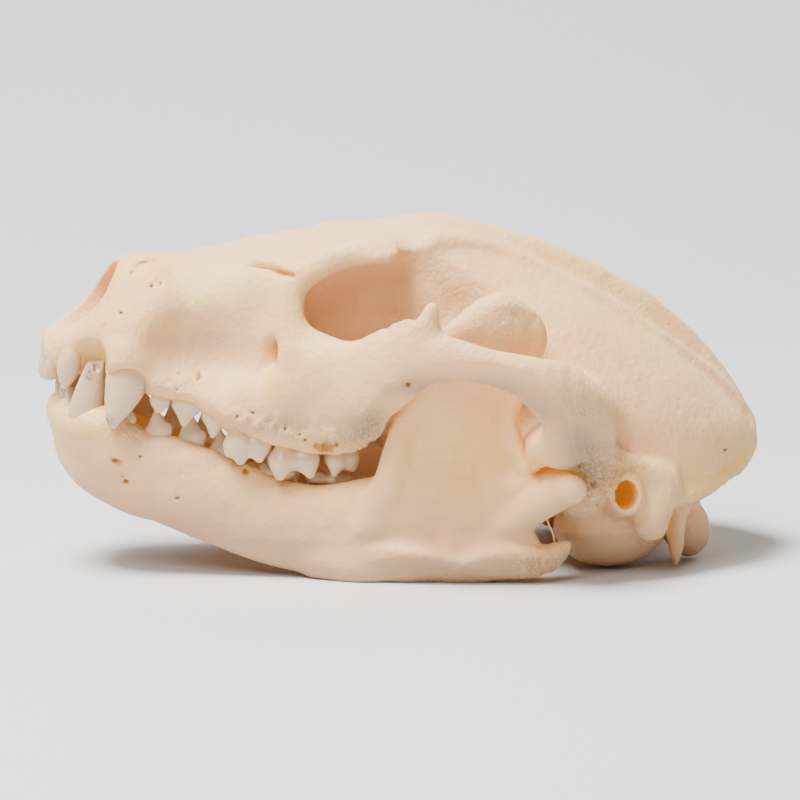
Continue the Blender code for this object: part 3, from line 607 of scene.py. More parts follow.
# Grey-brown patches: partly real dust, partly painted shade on down-facing skin such as the arch's facet.
GREY_AND_SHADE_PATCHES = {
    "cranium": [
        (24.6, 20.0, 4.0, 6.4, 1.1), (22.6, 25.0, 3.4, 4.0, 0.6), (17.0, 29.4, 5.0, 3.4, 0.8),
        (-1.0, 32.8, 7.0, 2.2, 1.0), (9.0, 32.6, 6.0, 2.4, 0.9), (-10.0, 26.0, 3.0, 3.4, 0.7),
        (-34.0, 37.4, 6.0, 4.0, 0.5), (-19.0, 26.0, 9.0, 3.0, 0.35), (-8.0, 26.0, 3.0, 4.0, 0.5),
    ],
    "mandible": [
        (3.0, 2.0, 10.0, 1.8, 0.4), (-34.0, 9.0, 12.0, 3.0, 0.25),
    ],
}
# Where muscle fibres have left fine streaks, and how the streaks are stretched.
FIBRE_PATCHES = {
    "cranium": [(30.0, 36.0, 22.0, 14.0, 0.15), (-14.0, 30.0, 9.0, 5.0, 1.0), (18.0, 32.0, 8.0, 5.0, 1.6)],
    "mandible": [(5.0, 18.0, 9.0, 9.0, 2.4), (-30.0, 10.0, 20.0, 5.0, 0.8)],
}
FIBRE_SCALE = {"cranium": (0.6, 0.25, 0.9), "mandible": (0.5, 0.3, 1.1)}
# Fine seams between bones, as places in space.
CRANIUM_SEAMS = [
    [(12.8, -20.0, 49.4), (13.2, -18.4, 49.8), (13.6, -16.8, 49.7)],
    [(35.4, 21.0, 31.8), (35.0, 22.4, 31.2), (34.2, 23.6, 31.4), (33.4, 25.0, 31.6)],
    [(24.0, 42.0, 20.6), (23.6, 43.6, 19.4), (23.4, 44.6, 18.6), (23.2, 45.2, 16.6)],
    [(7.4, -43.6, 50.4), (7.8, -36.0, 50.6), (8.6, -26.0, 52.0)],
    [(11.0, -50.6, 41.0), (11.0, -45.0, 44.6), (8.4, -40.0, 49.6)],
    [(18.4, -20.6, 33.0), (20.6, -15.0, 31.0), (20.6, -11.4, 25.6)],
    [(0.0, -46.0, 51.6), (0.0, -20.0, 54.8), (0.0, 0.0, 56.4)],
]
MANDIBLE_SEAMS = [[(0.0, -57.8, 26.0), (0.0, -55.0, 18.0), (0.0, -50.0, 13.4)]]
# The farthest that a seam is measured from.
SEAM_REACH = 9.0
# Weathering: length of the waves in mm, their height, and a seed. Rough patches have crumbs too.
WAVES = [(5.2, 0.18, 1), (2.1, 0.06, 2), (0.9, 0.035, 3)]
CRUMBS = [(1.3, 0.24, 4), (0.7, 0.24, 5)]
CRUMB_SINK = 0.06
FIBRE_HEIGHT = 0.05
FIBRE_SEED = 6
# The strand of dried sinew: places in space, radius, rings along it and sides of each ring.
STRAND = [(28.2, 19.3, 11.6), (27.9, 19.7, 10.0), (27.4, 20.7, 7.8), (27.2, 21.2, 5.4)]
STRAND_RADIUS = 0.17
STRAND_RINGS = 16
STRAND_SIDES = 8


def curve(table, places):
    """Rows of a table read at places along its first column, by a cubic that never overshoots."""
    table = np.asarray(table, float)
    knots, values = table[:, 0], table[:, 1:]
    slopes = np.diff(values, axis=0) / np.diff(knots)[:, None]
    tangents = np.empty_like(values)
    tangents[0], tangents[-1] = slopes[0], slopes[-1]
    before, after = slopes[:-1], slopes[1:]
    total = np.where(before + after == 0, 1, before + after)
    tangents[1:-1] = np.where(before * after > 0, 2 * before * after / total, 0)
    places = np.clip(places, knots[0], knots[-1])
    i = np.clip(np.searchsorted(knots, places) - 1, 0, len(knots) - 2)
    span = (knots[i + 1] - knots[i])[:, None]
    t = (places - knots[i])[:, None] / span
    return (values[i] * (1 + 2 * t) * (1 - t)**2 + tangents[i] * span * t * (1 - t)**2
            + values[i + 1] * t * t * (3 - 2 * t) + tangents[i + 1] * span * t * t * (t - 1))


def smooth_rows(rows, count):
    """Rows read evenly along a Catmull-Rom curve through the given rows."""
    known = np.asarray(rows, float)
    ends = np.vstack([2 * known[0] - known[1], known, 2 * known[-1] - known[-2]])
    place = np.linspace(0, len(known) - 1, count)
    first = np.minimum(place.astype(int), len(known) - 2)
    t = (place - first)[:, None]
    a, b, c, d = (ends[first + step] for step in range(4))
    return 0.5 * (2 * b + (c - a) * t + (2 * a - 5 * b + 4 * c - d) * t**2
                  + (3 * b - a - 3 * c + d) * t**3)


def melt(a, b, width):
    """The lesser of two distances, rounded where they are nearly equal."""
    near = np.maximum(width - np.abs(a - b), 0) / width
    return np.minimum(a, b) - near * near * width / 4


class Lattice:
    """Distances to a skin on a block of points; a block that starts at X = 0 can be mirrored."""

    def __init__(self, low, high, step):
        self.step = step
        self.low = np.array(low, float)
        counts = np.ceil((np.array(high) - self.low) / step).astype(int) + 1
        self.axes = [self.low[i] + step * np.arange(counts[i]) for i in range(3)]
        self.far = np.full(counts, FAR, np.float32)

    def block(self, low, high):
        """Slices of the lattice that hold a box, and the box's coordinates."""
        slices = []
        for i, axis in enumerate(self.axes):
            first = max(0, int(np.floor((low[i] - self.low[i]) / self.step)))
            last = min(len(axis), int(np.ceil((high[i] - self.low[i]) / self.step)) + 1)
            slices.append(slice(first, max(first, last)))
        x, y, z = (axis[s] for axis, s in zip(self.axes, slices))
        return tuple(slices), (x[:, None, None], y[None, :, None], z[None, None, :])

    def join(self, where, distance, width, cut=False):
        """Melt a distance into the lattice, or cut it out."""
        if cut:
            self.far[where] = -melt(-self.far[where], distance, width)
        else:
            self.far[where] = melt(self.far[where], distance, width)

    def sections(self, rows, width):
        """A long body: |across|^n + |rise|^n = 1 in each upright section, read along Y."""
        rows = np.asarray(rows, float)
        pad = width + 3 * self.step
        low = (-rows[:, 2].max() - pad, rows[0, 0] - pad, (rows[:, 1] - rows[:, 4]).min() - pad)
        high = (rows[:, 2].max() + pad, rows[-1, 0] + pad, (rows[:, 1] + rows[:, 3]).max() + pad)
        where, (x, y, z) = self.block(low, high)
        parts = curve(rows, y.ravel())
        centre, half, above, below, round_up, round_down = (
            parts[:, i].reshape(1, -1, 1) for i in range(6))
        rise = z - centre
        power = np.where(rise > 0, round_up, round_down)
        height = np.where(rise > 0, above, below)
        size = (np.abs(x / half)**power + np.abs(rise / height)**power + 1e-12)**(1 / power)
        distance = (size - 1) * np.minimum(half, height)
        ends = np.maximum(rows[0, 0] - y, y - rows[-1, 0])
        self.join(where, np.maximum(distance, ends).astype(np.float32), width)

    def strip(self, rows, side, width, cut=False, steps=26):
        """A tube with an oval section: sqrt((a/ra)^2 + (b/rb)^2) = 1 round each piece of path."""
        path = smooth_rows(rows, steps)
        spots, sizes = path[:, :3], np.maximum(path[:, 3:5], THINNEST)
        reach = sizes.max(1)[:, None] + width + 3 * self.step
        where, (x, y, z) = self.block((spots - reach.max()).min(0), (spots + reach.max()).max(0))
        found = np.full([axis.size for axis in (x, y, z)], FAR, np.float32)
        origin = [s.start for s in where]
        for i in range(steps - 1):
            a, b = spots[i], spots[i + 1]
            pad = reach[i:i + 2].max()
            inner, (x, y, z) = self.block(np.minimum(a, b) - pad, np.maximum(a, b) + pad)
            local = tuple(slice(s.start - o, s.stop - o) for s, o in zip(inner, origin))
            length = np.linalg.norm(b - a)
            way = (b - a) / length
            first = np.asarray(side, float) - np.dot(side, way) * way
            first /= np.linalg.norm(first)
            second = np.cross(way, first)
            px, py, pz = x - a[0], y - a[1], z - a[2]
            t = np.clip((px * way[0] + py * way[1] + pz * way[2]) / length, 0, 1)
            px, py, pz = px - t * (b - a)[0], py - t * (b - a)[1], pz - t * (b - a)[2]
            ra = sizes[i, 0] * (1 - t) + sizes[i + 1, 0] * t
            rb = sizes[i, 1] * (1 - t) + sizes[i + 1, 1] * t
            least = np.minimum(ra, rb)
            ends = (i == 0) * (t == 0) + (i == steps - 2) * (t == 1)
            cap = np.where(ends, least, np.minimum(least, CAP_SHARE * length))
            size = np.sqrt(((px * first[0] + py * first[1] + pz * first[2]) / ra)**2
                           + ((px * second[0] + py * second[1] + pz * second[2]) / rb)**2
                           + ((px * way[0] + py * way[1] + pz * way[2]) / cap)**2)
            found[local] = np.minimum(found[local], (size - 1) * least)
        self.join(where, found, width, cut)

    def ball(self, centre, sizes, about_x, about_z, width, cut=False):
        """An ellipsoid: its size is q (q - 1) / |gradient q|, close to the true distance."""
        a, c = math.radians(about_x), math.radians(about_z)
        turn_x = np.array([[1, 0, 0], [0, math.cos(a), -math.sin(a)], [0, math.sin(a), math.cos(a)]])
        turn_z = np.array([[math.cos(c), -math.sin(c), 0], [math.sin(c), math.cos(c), 0], [0, 0, 1]])
        turn = turn_z @ turn_x
        half = np.sqrt(((turn * sizes)**2).sum(1)) + width + 3 * self.step
        where, (x, y, z) = self.block(np.array(centre) - half, np.array(centre) + half)
        px, py, pz = x - centre[0], y - centre[1], z - centre[2]
        parts = [(px * turn[0, i] + py * turn[1, i] + pz * turn[2, i]) / sizes[i] for i in range(3)]
        size = np.sqrt(sum(part**2 for part in parts))
        slope = np.sqrt(sum((part / s)**2 for part, s in zip(parts, sizes))) + 1e-9
        self.join(where, (size * (size - 1) / slope).astype(np.float32), width, cut)

    def soften(self, rounds):
        """Average neighbours, 1 : 2 : 1 along each axis, so that joins between tubes vanish."""
        for _ in range(rounds):
            for axis in range(3):
                far = np.moveaxis(self.far, axis, 0)
                first = far[1] if axis == 0 else far[0]
                before = np.concatenate([first[None], far[:-1]])
                after = np.concatenate([far[1:], far[-1:]])
                far[...] = (before + 2 * far + after) / 4

    def pits(self, marks):
        """Small holes seen from the side: y, z, half length, half height, depth."""
        for y, z, long, high, depth in marks:
            x = self.skin_x(y, z)
            rows = [(x + PIT_START, y, z, long, high), (x - PIT_SHOULDER * depth, y, z, long, high),
                    (x - depth, y, z, PIT_TAPER * long, PIT_TAPER * high)]
            self.strip(rows, BACK, PIT_MELT, cut=True, steps=6)

    def trace(self, places, sizes, width, cut=False):
        """A fine groove or lip laid on the skin along places seen from the side."""
        rows = [(self.skin_x(y, z), y, z, sizes[0], sizes[1]) for y, z in places]
        self.strip(rows, UP, width, cut, steps=4 * len(rows))

    def skin_x(self, y, z):
        """How far out the skin lies at a place seen from the side."""
        j, k = (int(round((v - self.low[i]) / self.step)) for v, i in ((y, 1), (z, 2)))
        return self.axes[0][np.flatnonzero(self.far[:, j, k] < 0)[-1]]

    def whole(self):
        """The distances of both sides, and the lowest corner."""
        both = np.concatenate([self.far[:0:-1], self.far])
        return both, np.array((-self.axes[0][-1], self.low[1], self.low[2]))


def net(far, low, step):
    """The zero level as quads: one corner in each cell that the skin crosses, at the mean of the
    crossings of the cell's edges, and one quad round each lattice edge that the skin crosses."""
    inside = far < 0
    strides = np.array((far.shape[1] * far.shape[2], far.shape[2], 1))
    flat = far.ravel()
    cells, spots, quads = [], [], []
    for axis in range(3):
        one, two = [slice(None)] * 3, [slice(None)] * 3
        one[axis], two[axis] = slice(0, -1), slice(1, None)
        crossed = inside[tuple(one)] != inside[tuple(two)]
        index = np.argwhere(crossed)
        start = index @ strides
        here, there = flat[start], flat[start + strides[axis]]
        spot = index.astype(float)
        spot[:, axis] += here / (here - there)
        side_a, side_b = strides[(axis + 1) % 3], strides[(axis + 2) % 3]
        four = np.stack([start, start - side_a, start - side_a - side_b, start - side_b], 1)
        four[here > 0] = four[here > 0][:, ::-1]
        cells.append(four.ravel())
        spots.append(np.repeat(spot, 4, axis=0))
        quads.append(four)
    cells, spots, quads = np.concatenate(cells), np.concatenate(spots), np.concatenate(quads)
    names, place = np.unique(cells, return_inverse=True)
    share = np.bincount(place)
    corners = np.stack([np.bincount(place, spots[:, i]) / share for i in range(3)], 1)
    return corners * step + low, np.searchsorted(names, quads)


def step_up(values, low, high):
    """0 below low, 1 above high, smooth between."""
    t = np.clip((values - low) / (high - low), 0, 1)
    return t * t * (3 - 2 * t)


def noise(points, seed):
    """Smooth random numbers from -1 to 1, one knot each unit of space."""
    cell = np.floor(points).astype(np.int64)
    t = points - cell
    t = t * t * (3 - 2 * t)
    total = np.zeros(len(points))
    for corner in range(8):
        bits = np.array((corner & 1, corner >> 1 & 1, corner >> 2 & 1))
        at = cell + bits
        key = at[:, 0] * SCRAMBLE[0] + at[:, 1] * SCRAMBLE[1] + at[:, 2] * SCRAMBLE[2]
        key = key + seed * SEED_STEP
        key = (key ^ key >> 13) * REMIX & 0xFFFFFFFF
        share = np.prod(np.where(bits, t, 1 - t), axis=1)
        total += share * ((key ^ key >> 16) & 0xFFFF) / 32767.5
    return total - 1


def patches(points, normals, plan):
    """Soft oval patches on the outward skin of both sides, added up."""
    total = np.zeros(len(points))
    for y, z, long, high, strength in plan:
        total += strength * np.exp(-((points[:, 1] - y) / long)**2 - ((points[:, 2] - z) / high)**2)
    outward = normals[:, 0] * np.sign(points[:, 0])
    return total * step_up(outward, -0.5, 0.1)


def seam_distance(points, seams):
    """Distance in mm to the nearest seam, on either side."""
    nearest = np.full(len(points), SEAM_REACH)
    near_side = np.stack([np.abs(points[:, 0]), points[:, 1], points[:, 2]], 1)
    for seam in seams:
        path = smooth_rows(seam, 8 * len(seam))
        for a, b in zip(path[:-1], path[1:]):
            t = np.clip((near_side - a) @ (b - a) / np.dot(b - a, b - a), 0, 1)
            nearest = np.minimum(nearest, np.linalg.norm(near_side - a - t[:, None] * (b - a), axis=1))
    return nearest


def shelter(points, normals, bones):
    """Shares of the directions over each point that run into bone and into the table: directions
    wind round a ball by the golden angle, and each is followed outwards step by step."""
    order = np.arange(SHELTER_WAYS)
    turn = order * math.pi * (3 - math.sqrt(5))
    high = 1 - 2 * (order + 0.5) / SHELTER_WAYS
    ways = np.stack([np.cos(turn) * np.sqrt(1 - high**2), np.sin(turn) * np.sqrt(1 - high**2), high], 1)
    blocked, under, total = np.zeros((3, len(points)))
    for way in ways:
        facing = np.flatnonzero(normals @ way > SHELTER_FACING)
        start = points[facing] + SHELTER_LIFT * normals[facing]
        weight = normals[facing] @ way
        hit, sunk = np.zeros((2, len(facing)), bool)
        for reach in SHELTER_REACHES:
            spot = start + way * reach
            sunk |= (spot[:, 2] < 0) & ~hit
            for far, low, step in bones:
                place = ((spot - low) / step + 0.5).astype(np.int32)
                inside = np.all((place >= 0) & (place < far.shape), axis=1)
                place = np.clip(place, 0, np.array(far.shape) - 1)
                hit |= inside & (far[place[:, 0], place[:, 1], place[:, 2]] < 0)
        blocked[facing] += weight * (hit & ~sunk)
        under[facing] += weight * sunk
        total[facing] += weight
    return blocked / np.maximum(total, 1e-6), under / np.maximum(total, 1e-6)


def mesh_from(name, corners, faces, coat):
    """A smooth mesh object from corner places in millimetres and faces of equal length."""
    mesh = bpy.data.meshes.new(name)
    size = faces.shape[1]
    mesh.vertices.add(len(corners))
    mesh.vertices.foreach_set("co", ((corners + CENTRING) * MM).astype(np.float32).ravel())
    mesh.loops.add(faces.size)
    mesh.loops.foreach_set("vertex_index", faces.astype(np.int32).ravel())
    mesh.polygons.add(len(faces))
    mesh.polygons.foreach_set("loop_start", np.arange(0, faces.size, size, dtype=np.int32))
    mesh.polygons.foreach_set("use_smooth", np.ones(len(faces), bool))
    mesh.update(calc_edges=True)
    mesh.validate()
    mesh.materials.append(coat)
    thing = bpy.data.objects.new(name, mesh)
    bpy.context.collection.objects.link(thing)
    return thing


def thinned(thing, most):
    """Replace an object's mesh by one of at most so many triangles."""
    count = sum(len(face.vertices) - 2 for face in thing.data.polygons)
    change = thing.modifiers.new("Thin out", "DECIMATE")
    change.ratio = min(1.0, most / count)
    graph = bpy.context.evaluated_depsgraph_get()
    fresh = bpy.data.meshes.new_from_object(thing.evaluated_get(graph))
    thing.modifiers.clear()
    stale = thing.data
    thing.data = fresh
    fresh.name = thing.name
    bpy.data.meshes.remove(stale)
    fresh.shade_smooth()


# Teeth: middle at the gum, lean of the crown out and back per mm, half length, half width, crown,
# root, turn of the row there in degrees, kind.
UPPER_TEETH = {
    "I1": ((1.6, -57.9, 35.6), (0.00, -0.2), (1.3, 1.2, 4.2, 2.8), 0, "incisor"),
    "I2": ((4.5, -57.4, 36.2), (0.04, -0.2), (1.5, 1.3, 4.6, 2.6), -12, "incisor"),
    "I3": ((7.3, -55.1, 37.0), (0.10, -0.16), (2.1, 1.8, 6.2, 1.8), -30, "fang"),
    "C": ((12.0, -46.6, 34.4), (0.24, -0.02), (3.3, 2.4, 9.5, 9.0), 0, "upper fang"),
    "P1": ((12.8, -41.3, 30.2), (0.06, 0.0), (1.8, 1.2, 3.2, 4.0), 0, "peg"),
    "P2": ((13.4, -37.0, 29.2), (0.06, -0.06), (2.5, 1.4, 4.5, 4.6), 8, "blade"),
    "P3": ((14.3, -32.4, 27.4), (0.06, -0.06), (2.4, 1.6, 4.5, 4.6), 10, "blade"),
    "P4": ((15.5, -27.4, 23.6), (0.04, 0.0), (4.0, 2.9, 4.9, 4.6), 8, "P4"),
    "M1": ((15.3, -20.0, 21.0), (0.04, 0.0), (4.2, 3.6, 4.8, 4.6), 3, "M1"),
    "M2": ((15.0, -12.0, 20.8), (0.04, 0.0), (2.9, 3.2, 4.5, 4.2), -4, "M2"),
}
LOWER_TEETH = {
    "i1": ((1.3, -56.2, 27.6), (0.00, -0.02), (0.9, 1.0, 3.2, 4.0), 0, "incisor"),
    "i2": ((3.4, -55.8, 27.4), (0.02, -0.02), (1.0, 1.0, 3.4, 4.0), -10, "incisor"),
    "i3": ((5.6, -54.9, 27.0), (0.04, -0.02), (1.1, 1.1, 3.4, 4.0), -25, "incisor"),
    "c": ((9.2, -53.3, 26.4), (0.05, 0.2), (2.7, 2.0, 11.4, 8.0), 0, "lower fang"),
    "p1": ((9.8, -46.0, 24.4), (0.0, 0.0), (1.2, 1.0, 3.0, 4.0), 6, "peg"),
    "p2": ((10.3, -41.4, 22.8), (0.0, 0.0), (2.2, 1.2, 4.4, 5.0), 4, "blade"),
    "p3": ((10.5, -36.0, 21.2), (0.0, 0.0), (2.3, 1.3, 5.6, 5.0), 4, "blade"),
    "p4": ((11.0, -31.0, 18.8), (0.0, 0.0), (2.5, 1.4, 4.8, 5.0), 8, "blade"),
    "m1": ((12.4, -23.2, 15.9), (0.0, 0.0), (4.2, 1.8, 2.9, 4.6), 10, "m1"),
    "m2": ((13.8, -14.0, 14.8), (0.0, 0.0), (3.7, 1.7, 2.5, 4.6), 14, "m2"),
}
# How much of the crown's lean along the row its root has.
ROOT_LEAN = {"upper fang": -16.0, "lower fang": -0.6}
USUAL_ROOT_LEAN = 0.4
# A tooth's lattice: spacing and margin; the steps of each strip, its melting width, and the most
# triangles that the tooth keeps.
TOOTH_STEP = 0.15
TOOTH_MARGIN = 1.0
TOOTH_PATH_STEPS = 24
TOOTH_MELT = 0.9
TOOTH_TRIANGLES = 7000
# Strips of each kind in shares of half length, half width and crown or root: along, out, rise,
# half size along, half size across. A rise below 0 is a share of the root.
KINDS = {
    "incisor": [
        [(0, 0, -1.0, 0.35, 0.4), (0, 0, -0.5, 0.6, 0.8), (0, 0, 0.08, 0.72, 0.9),
         (0, 0.02, 0.4, 0.96, 0.82), (0, -0.05, 0.75, 0.98, 0.5), (0, -0.08, 0.93, 0.86, 0.3)],
    ],
    "fang": [
        [(0, 0, -1.0, 0.4, 0.4), (0, 0, 0.0, 0.72, 0.8), (0, 0.02, 0.3, 0.96, 0.95),
         (0, 0.02, 0.6, 0.92, 0.84), (-0.04, 0, 0.82, 0.66, 0.6), (-0.08, 0, 0.92, 0.42, 0.4)],
    ],
    "upper fang": [
        [(0.5, 0, -1.0, 0.3, 0.3), (0.34, 0, -0.6, 0.7, 0.7), (0.1, 0, -0.2, 0.9, 0.92),
         (0, 0, 0.06, 0.96, 0.98), (-0.08, 0, 0.3, 1.0, 0.94), (-0.36, 0, 0.56, 0.78, 0.78),
         (-0.62, 0, 0.79, 0.5, 0.56), (-0.7, 0, 0.93, 0.27, 0.32)],
    ],
    "lower fang": [
        [(0.2, 0, -1.0, 0.3, 0.3), (0.1, 0, -0.5, 0.8, 0.8), (0, 0, 0.0, 1.0, 1.0),
         (0, 0, 0.3, 0.9, 0.92), (0.04, 0, 0.6, 0.66, 0.7), (0.14, 0, 0.85, 0.4, 0.46),
         (0.24, 0, 0.96, 0.2, 0.22)],
    ],
    "peg": [
        [(0, 0, -1.0, 0.3, 0.3), (0, 0, 0.0, 0.7, 0.75), (0, 0, 0.35, 0.95, 0.95),
         (-0.08, 0, 0.66, 0.74, 0.7), (-0.14, 0, 0.84, 0.45, 0.4)],
    ],
    "blade": [
        [(-0.62, 0, -1.0, 0.14, 0.3), (-0.52, 0, -0.4, 0.3, 0.5), (-0.42, 0, 0.12, 0.42, 0.7)],
        [(0.66, 0, -1.0, 0.14, 0.3), (0.54, 0, -0.4, 0.3, 0.5), (0.44, 0, 0.12, 0.42, 0.7)],
        [(0, 0, 0.12, 0.86, 0.8), (-0.02, 0, 0.34, 0.84, 0.9), (-0.06, 0, 0.6, 0.56, 0.64),
         (-0.1, 0, 0.8, 0.34, 0.4), (-0.12, 0, 0.9, 0.22, 0.26)],
        [(0.3, 0, 0.26, 0.5, 0.66), (0.7, 0, 0.3, 0.26, 0.42)],
    ],
    "P4": [
        [(-0.5, 0.4, -1.0, 0.14, 0.2), (-0.45, 0.35, -0.3, 0.3, 0.36), (-0.4, 0.3, 0.15, 0.4, 0.5)],
        [(0.6, 0.3, -1.0, 0.14, 0.2), (0.52, 0.3, -0.3, 0.28, 0.36), (0.45, 0.25, 0.15, 0.4, 0.5)],
        [(0, -0.7, -1.0, 0.16, 0.2), (0, -0.5, -0.2, 0.34, 0.4), (0, -0.4, 0.2, 0.5, 0.5)],
        [(-0.32, 0.4, 0.4, 0.4, 0.46), (-0.3, 0.42, 0.74, 0.26, 0.3), (-0.28, 0.4, 0.86, 0.2, 0.2)],
        [(0.42, 0.36, 0.4, 0.36, 0.42), (0.46, 0.36, 0.72, 0.24, 0.28), (0.48, 0.34, 0.8, 0.18, 0.2)],
        [(-0.76, 0.3, 0.34, 0.2, 0.3), (-0.8, 0.3, 0.6, 0.12, 0.18)],
        [(-0.3, -0.5, 0.4, 0.32, 0.36), (-0.28, -0.46, 0.66, 0.14, 0.2)],
        [(0.42, -0.46, 0.36, 0.3, 0.34), (0.42, -0.42, 0.58, 0.14, 0.2)],
    ],
    "M1": [
        [(-0.5, 0.5, -1.0, 0.14, 0.16), (-0.46, 0.46, -0.3, 0.26, 0.3), (-0.4, 0.4, 0.15, 0.4, 0.4)],
        [(0.52, 0.48, -1.0, 0.14, 0.16), (0.5, 0.44, -0.3, 0.26, 0.3), (0.44, 0.36, 0.15, 0.4, 0.4)],
        [(0, -0.7, -1.0, 0.16, 0.2), (0, -0.55, -0.2, 0.36, 0.4), (0, -0.4, 0.2, 0.5, 0.5)],
        [(-0.52, 0.5, 0.36, 0.4, 0.38), (-0.54, 0.52, 0.74, 0.28, 0.26), (-0.54, 0.5, 0.86, 0.22, 0.2)],
        [(0.56, 0.42, 0.36, 0.38, 0.38), (0.62, 0.44, 0.72, 0.26, 0.26), (0.64, 0.42, 0.82, 0.2, 0.2)],
        [(-0.34, -0.5, 0.36, 0.36, 0.32), (-0.3, -0.46, 0.62, 0.16, 0.16)],
        [(0.46, -0.5, 0.32, 0.3, 0.3), (0.44, -0.46, 0.52, 0.14, 0.14)],
    ],
    "M2": [
        [(-0.4, 0.4, -1.0, 0.16, 0.18), (-0.4, 0.42, -0.3, 0.3, 0.3), (-0.36, 0.36, 0.15, 0.4, 0.4)],
        [(0.5, 0.3, -1.0, 0.16, 0.18), (0.46, 0.3, -0.3, 0.28, 0.3), (0.4, 0.3, 0.15, 0.4, 0.4)],
        [(0, -0.6, -1.0, 0.18, 0.2), (0, -0.5, -0.2, 0.4, 0.4), (0, -0.4, 0.2, 0.5, 0.5)],
        [(-0.46, 0.44, 0.4, 0.42, 0.4), (-0.5, 0.46, 0.76, 0.26, 0.22), (-0.52, 0.44, 0.86, 0.2, 0.18)],
        [(0.5, 0.3, 0.36, 0.4, 0.36), (0.52, 0.32, 0.68, 0.24, 0.2)],
        [(-0.04, -0.5, 0.36, 0.46, 0.3), (0, -0.46, 0.58, 0.2, 0.16)],
    ],
    "m1": [
        [(-0.5, 0, -1.0, 0.14, 0.4), (-0.46, 0, -0.3, 0.28, 0.66), (-0.42, 0, 0.15, 0.4, 0.84)],
        [(0.52, 0, -1.0, 0.14, 0.4), (0.5, 0, -0.3, 0.28, 0.66), (0.44, 0, 0.15, 0.4, 0.84)],
        [(-0.28, 0.36, 0.4, 0.3, 0.5), (-0.26, 0.3, 0.72, 0.1, 0.2)],
        [(-0.3, -0.4, 0.4, 0.26, 0.46), (-0.28, -0.4, 0.86, 0.1, 0.18)],
        [(-0.76, 0.0, 0.4, 0.2, 0.4), (-0.78, 0.0, 0.74, 0.08, 0.16)],
        [(0.46, 0.4, 0.34, 0.28, 0.44), (0.46, 0.36, 0.62, 0.1, 0.2)],
        [(0.5, -0.44, 0.34, 0.28, 0.44), (0.52, -0.42, 0.76, 0.1, 0.18)],
    ],
    "m2": [
        [(-0.5, 0, -1.0, 0.14, 0.4), (-0.46, 0, -0.3, 0.28, 0.66), (-0.42, 0, 0.15, 0.4, 0.84)],
        [(0.52, 0, -1.0, 0.14, 0.4), (0.5, 0, -0.3, 0.28, 0.66), (0.44, 0, 0.15, 0.4, 0.8)],
        [(-0.4, 0.4, 0.36, 0.3, 0.44), (-0.4, 0.36, 0.62, 0.1, 0.2)],
        [(-0.4, -0.4, 0.36, 0.28, 0.44), (-0.4, -0.4, 0.8, 0.1, 0.18)],
        [(0.3, 0.36, 0.34, 0.26, 0.4), (0.3, 0.34, 0.56, 0.1, 0.18)],
        [(0.64, -0.1, 0.34, 0.26, 0.4), (0.66, -0.1, 0.62, 0.1, 0.18)],
    ],
}
# Balls that make the body of each cheek tooth, in the same shares: middle and half sizes.
BODIES = {
    "P4": [(-0.28, -0.02, 0.34, 0.68, 0.92, 0.5), (0.42, -0.04, 0.32, 0.56, 0.84, 0.44)],
    "M1": [(-0.46, 0.0, 0.36, 0.54, 0.98, 0.48), (0.46, 0.0, 0.36, 0.54, 0.9, 0.46),
           (0, -0.06, 0.3, 0.5, 0.84, 0.42)],
    "M2": [(-0.3, 0.0, 0.34, 0.68, 0.96, 0.46), (0.36, -0.04, 0.34, 0.6, 0.8, 0.42)],
    "m1": [(-0.44, 0.0, 0.3, 0.56, 0.88, 0.42), (0.46, 0.0, 0.26, 0.54, 1.0, 0.36)],
    "m2": [(-0.38, 0.0, 0.3, 0.62, 0.98, 0.4), (0.5, 0.0, 0.28, 0.5, 0.86, 0.36)],
}
# The broken tip of the left lower canine, in the tooth's own axes.
BREAKS = [
    ((-0.2, 0.2, 12.6), (3.6, 3.2, 4.1), 0, 0, 0.2),
    ((0.5, 0.9, 8.6), (0.7, 0.9, 1.5), 0, 0, 0.2),
]
# Dark stains on the teeth: place and half size.
STAINS = [((14.6, -49.9, 26.2), 0.9), ((9.8, -51.6, 34.6), 1.3), ((10.6, -52.6, 33.0), 0.8)]


def tooth_space(kind, sizes):
    """A tooth as distances in its own axes: along the row, outwards, and from the gum to the tip."""
    half_length, half_width, crown, root = sizes
    reach = max(half_length, half_width) + TOOTH_MARGIN
    low = (-reach - TOOTH_MARGIN, -reach, -root - TOOTH_MARGIN)
    high = (reach + 1.5 * TOOTH_MARGIN, reach, crown + TOOTH_MARGIN)
    space = Lattice(low, high, TOOTH_STEP)
    for along, out, rise, *half in BODIES.get(kind, ()):
        space.ball((along * half_length, out * half_width, rise * crown),
                   np.array(half) * (half_length, half_width, crown), 0, 0, TOOTH_MELT)
    for rows in KINDS[kind]:
        rows = np.array(rows, float)
        rise = np.where(rows[:, 2] < 0, root, crown)
        scale = np.stack([np.full_like(rise, half_length), np.full_like(rise, half_width), rise,
                          np.full_like(rise, half_length), np.full_like(rise, half_width)], 1)
        space.strip(rows * scale, OUT, TOOTH_MELT, steps=TOOTH_PATH_STEPS)
    return space


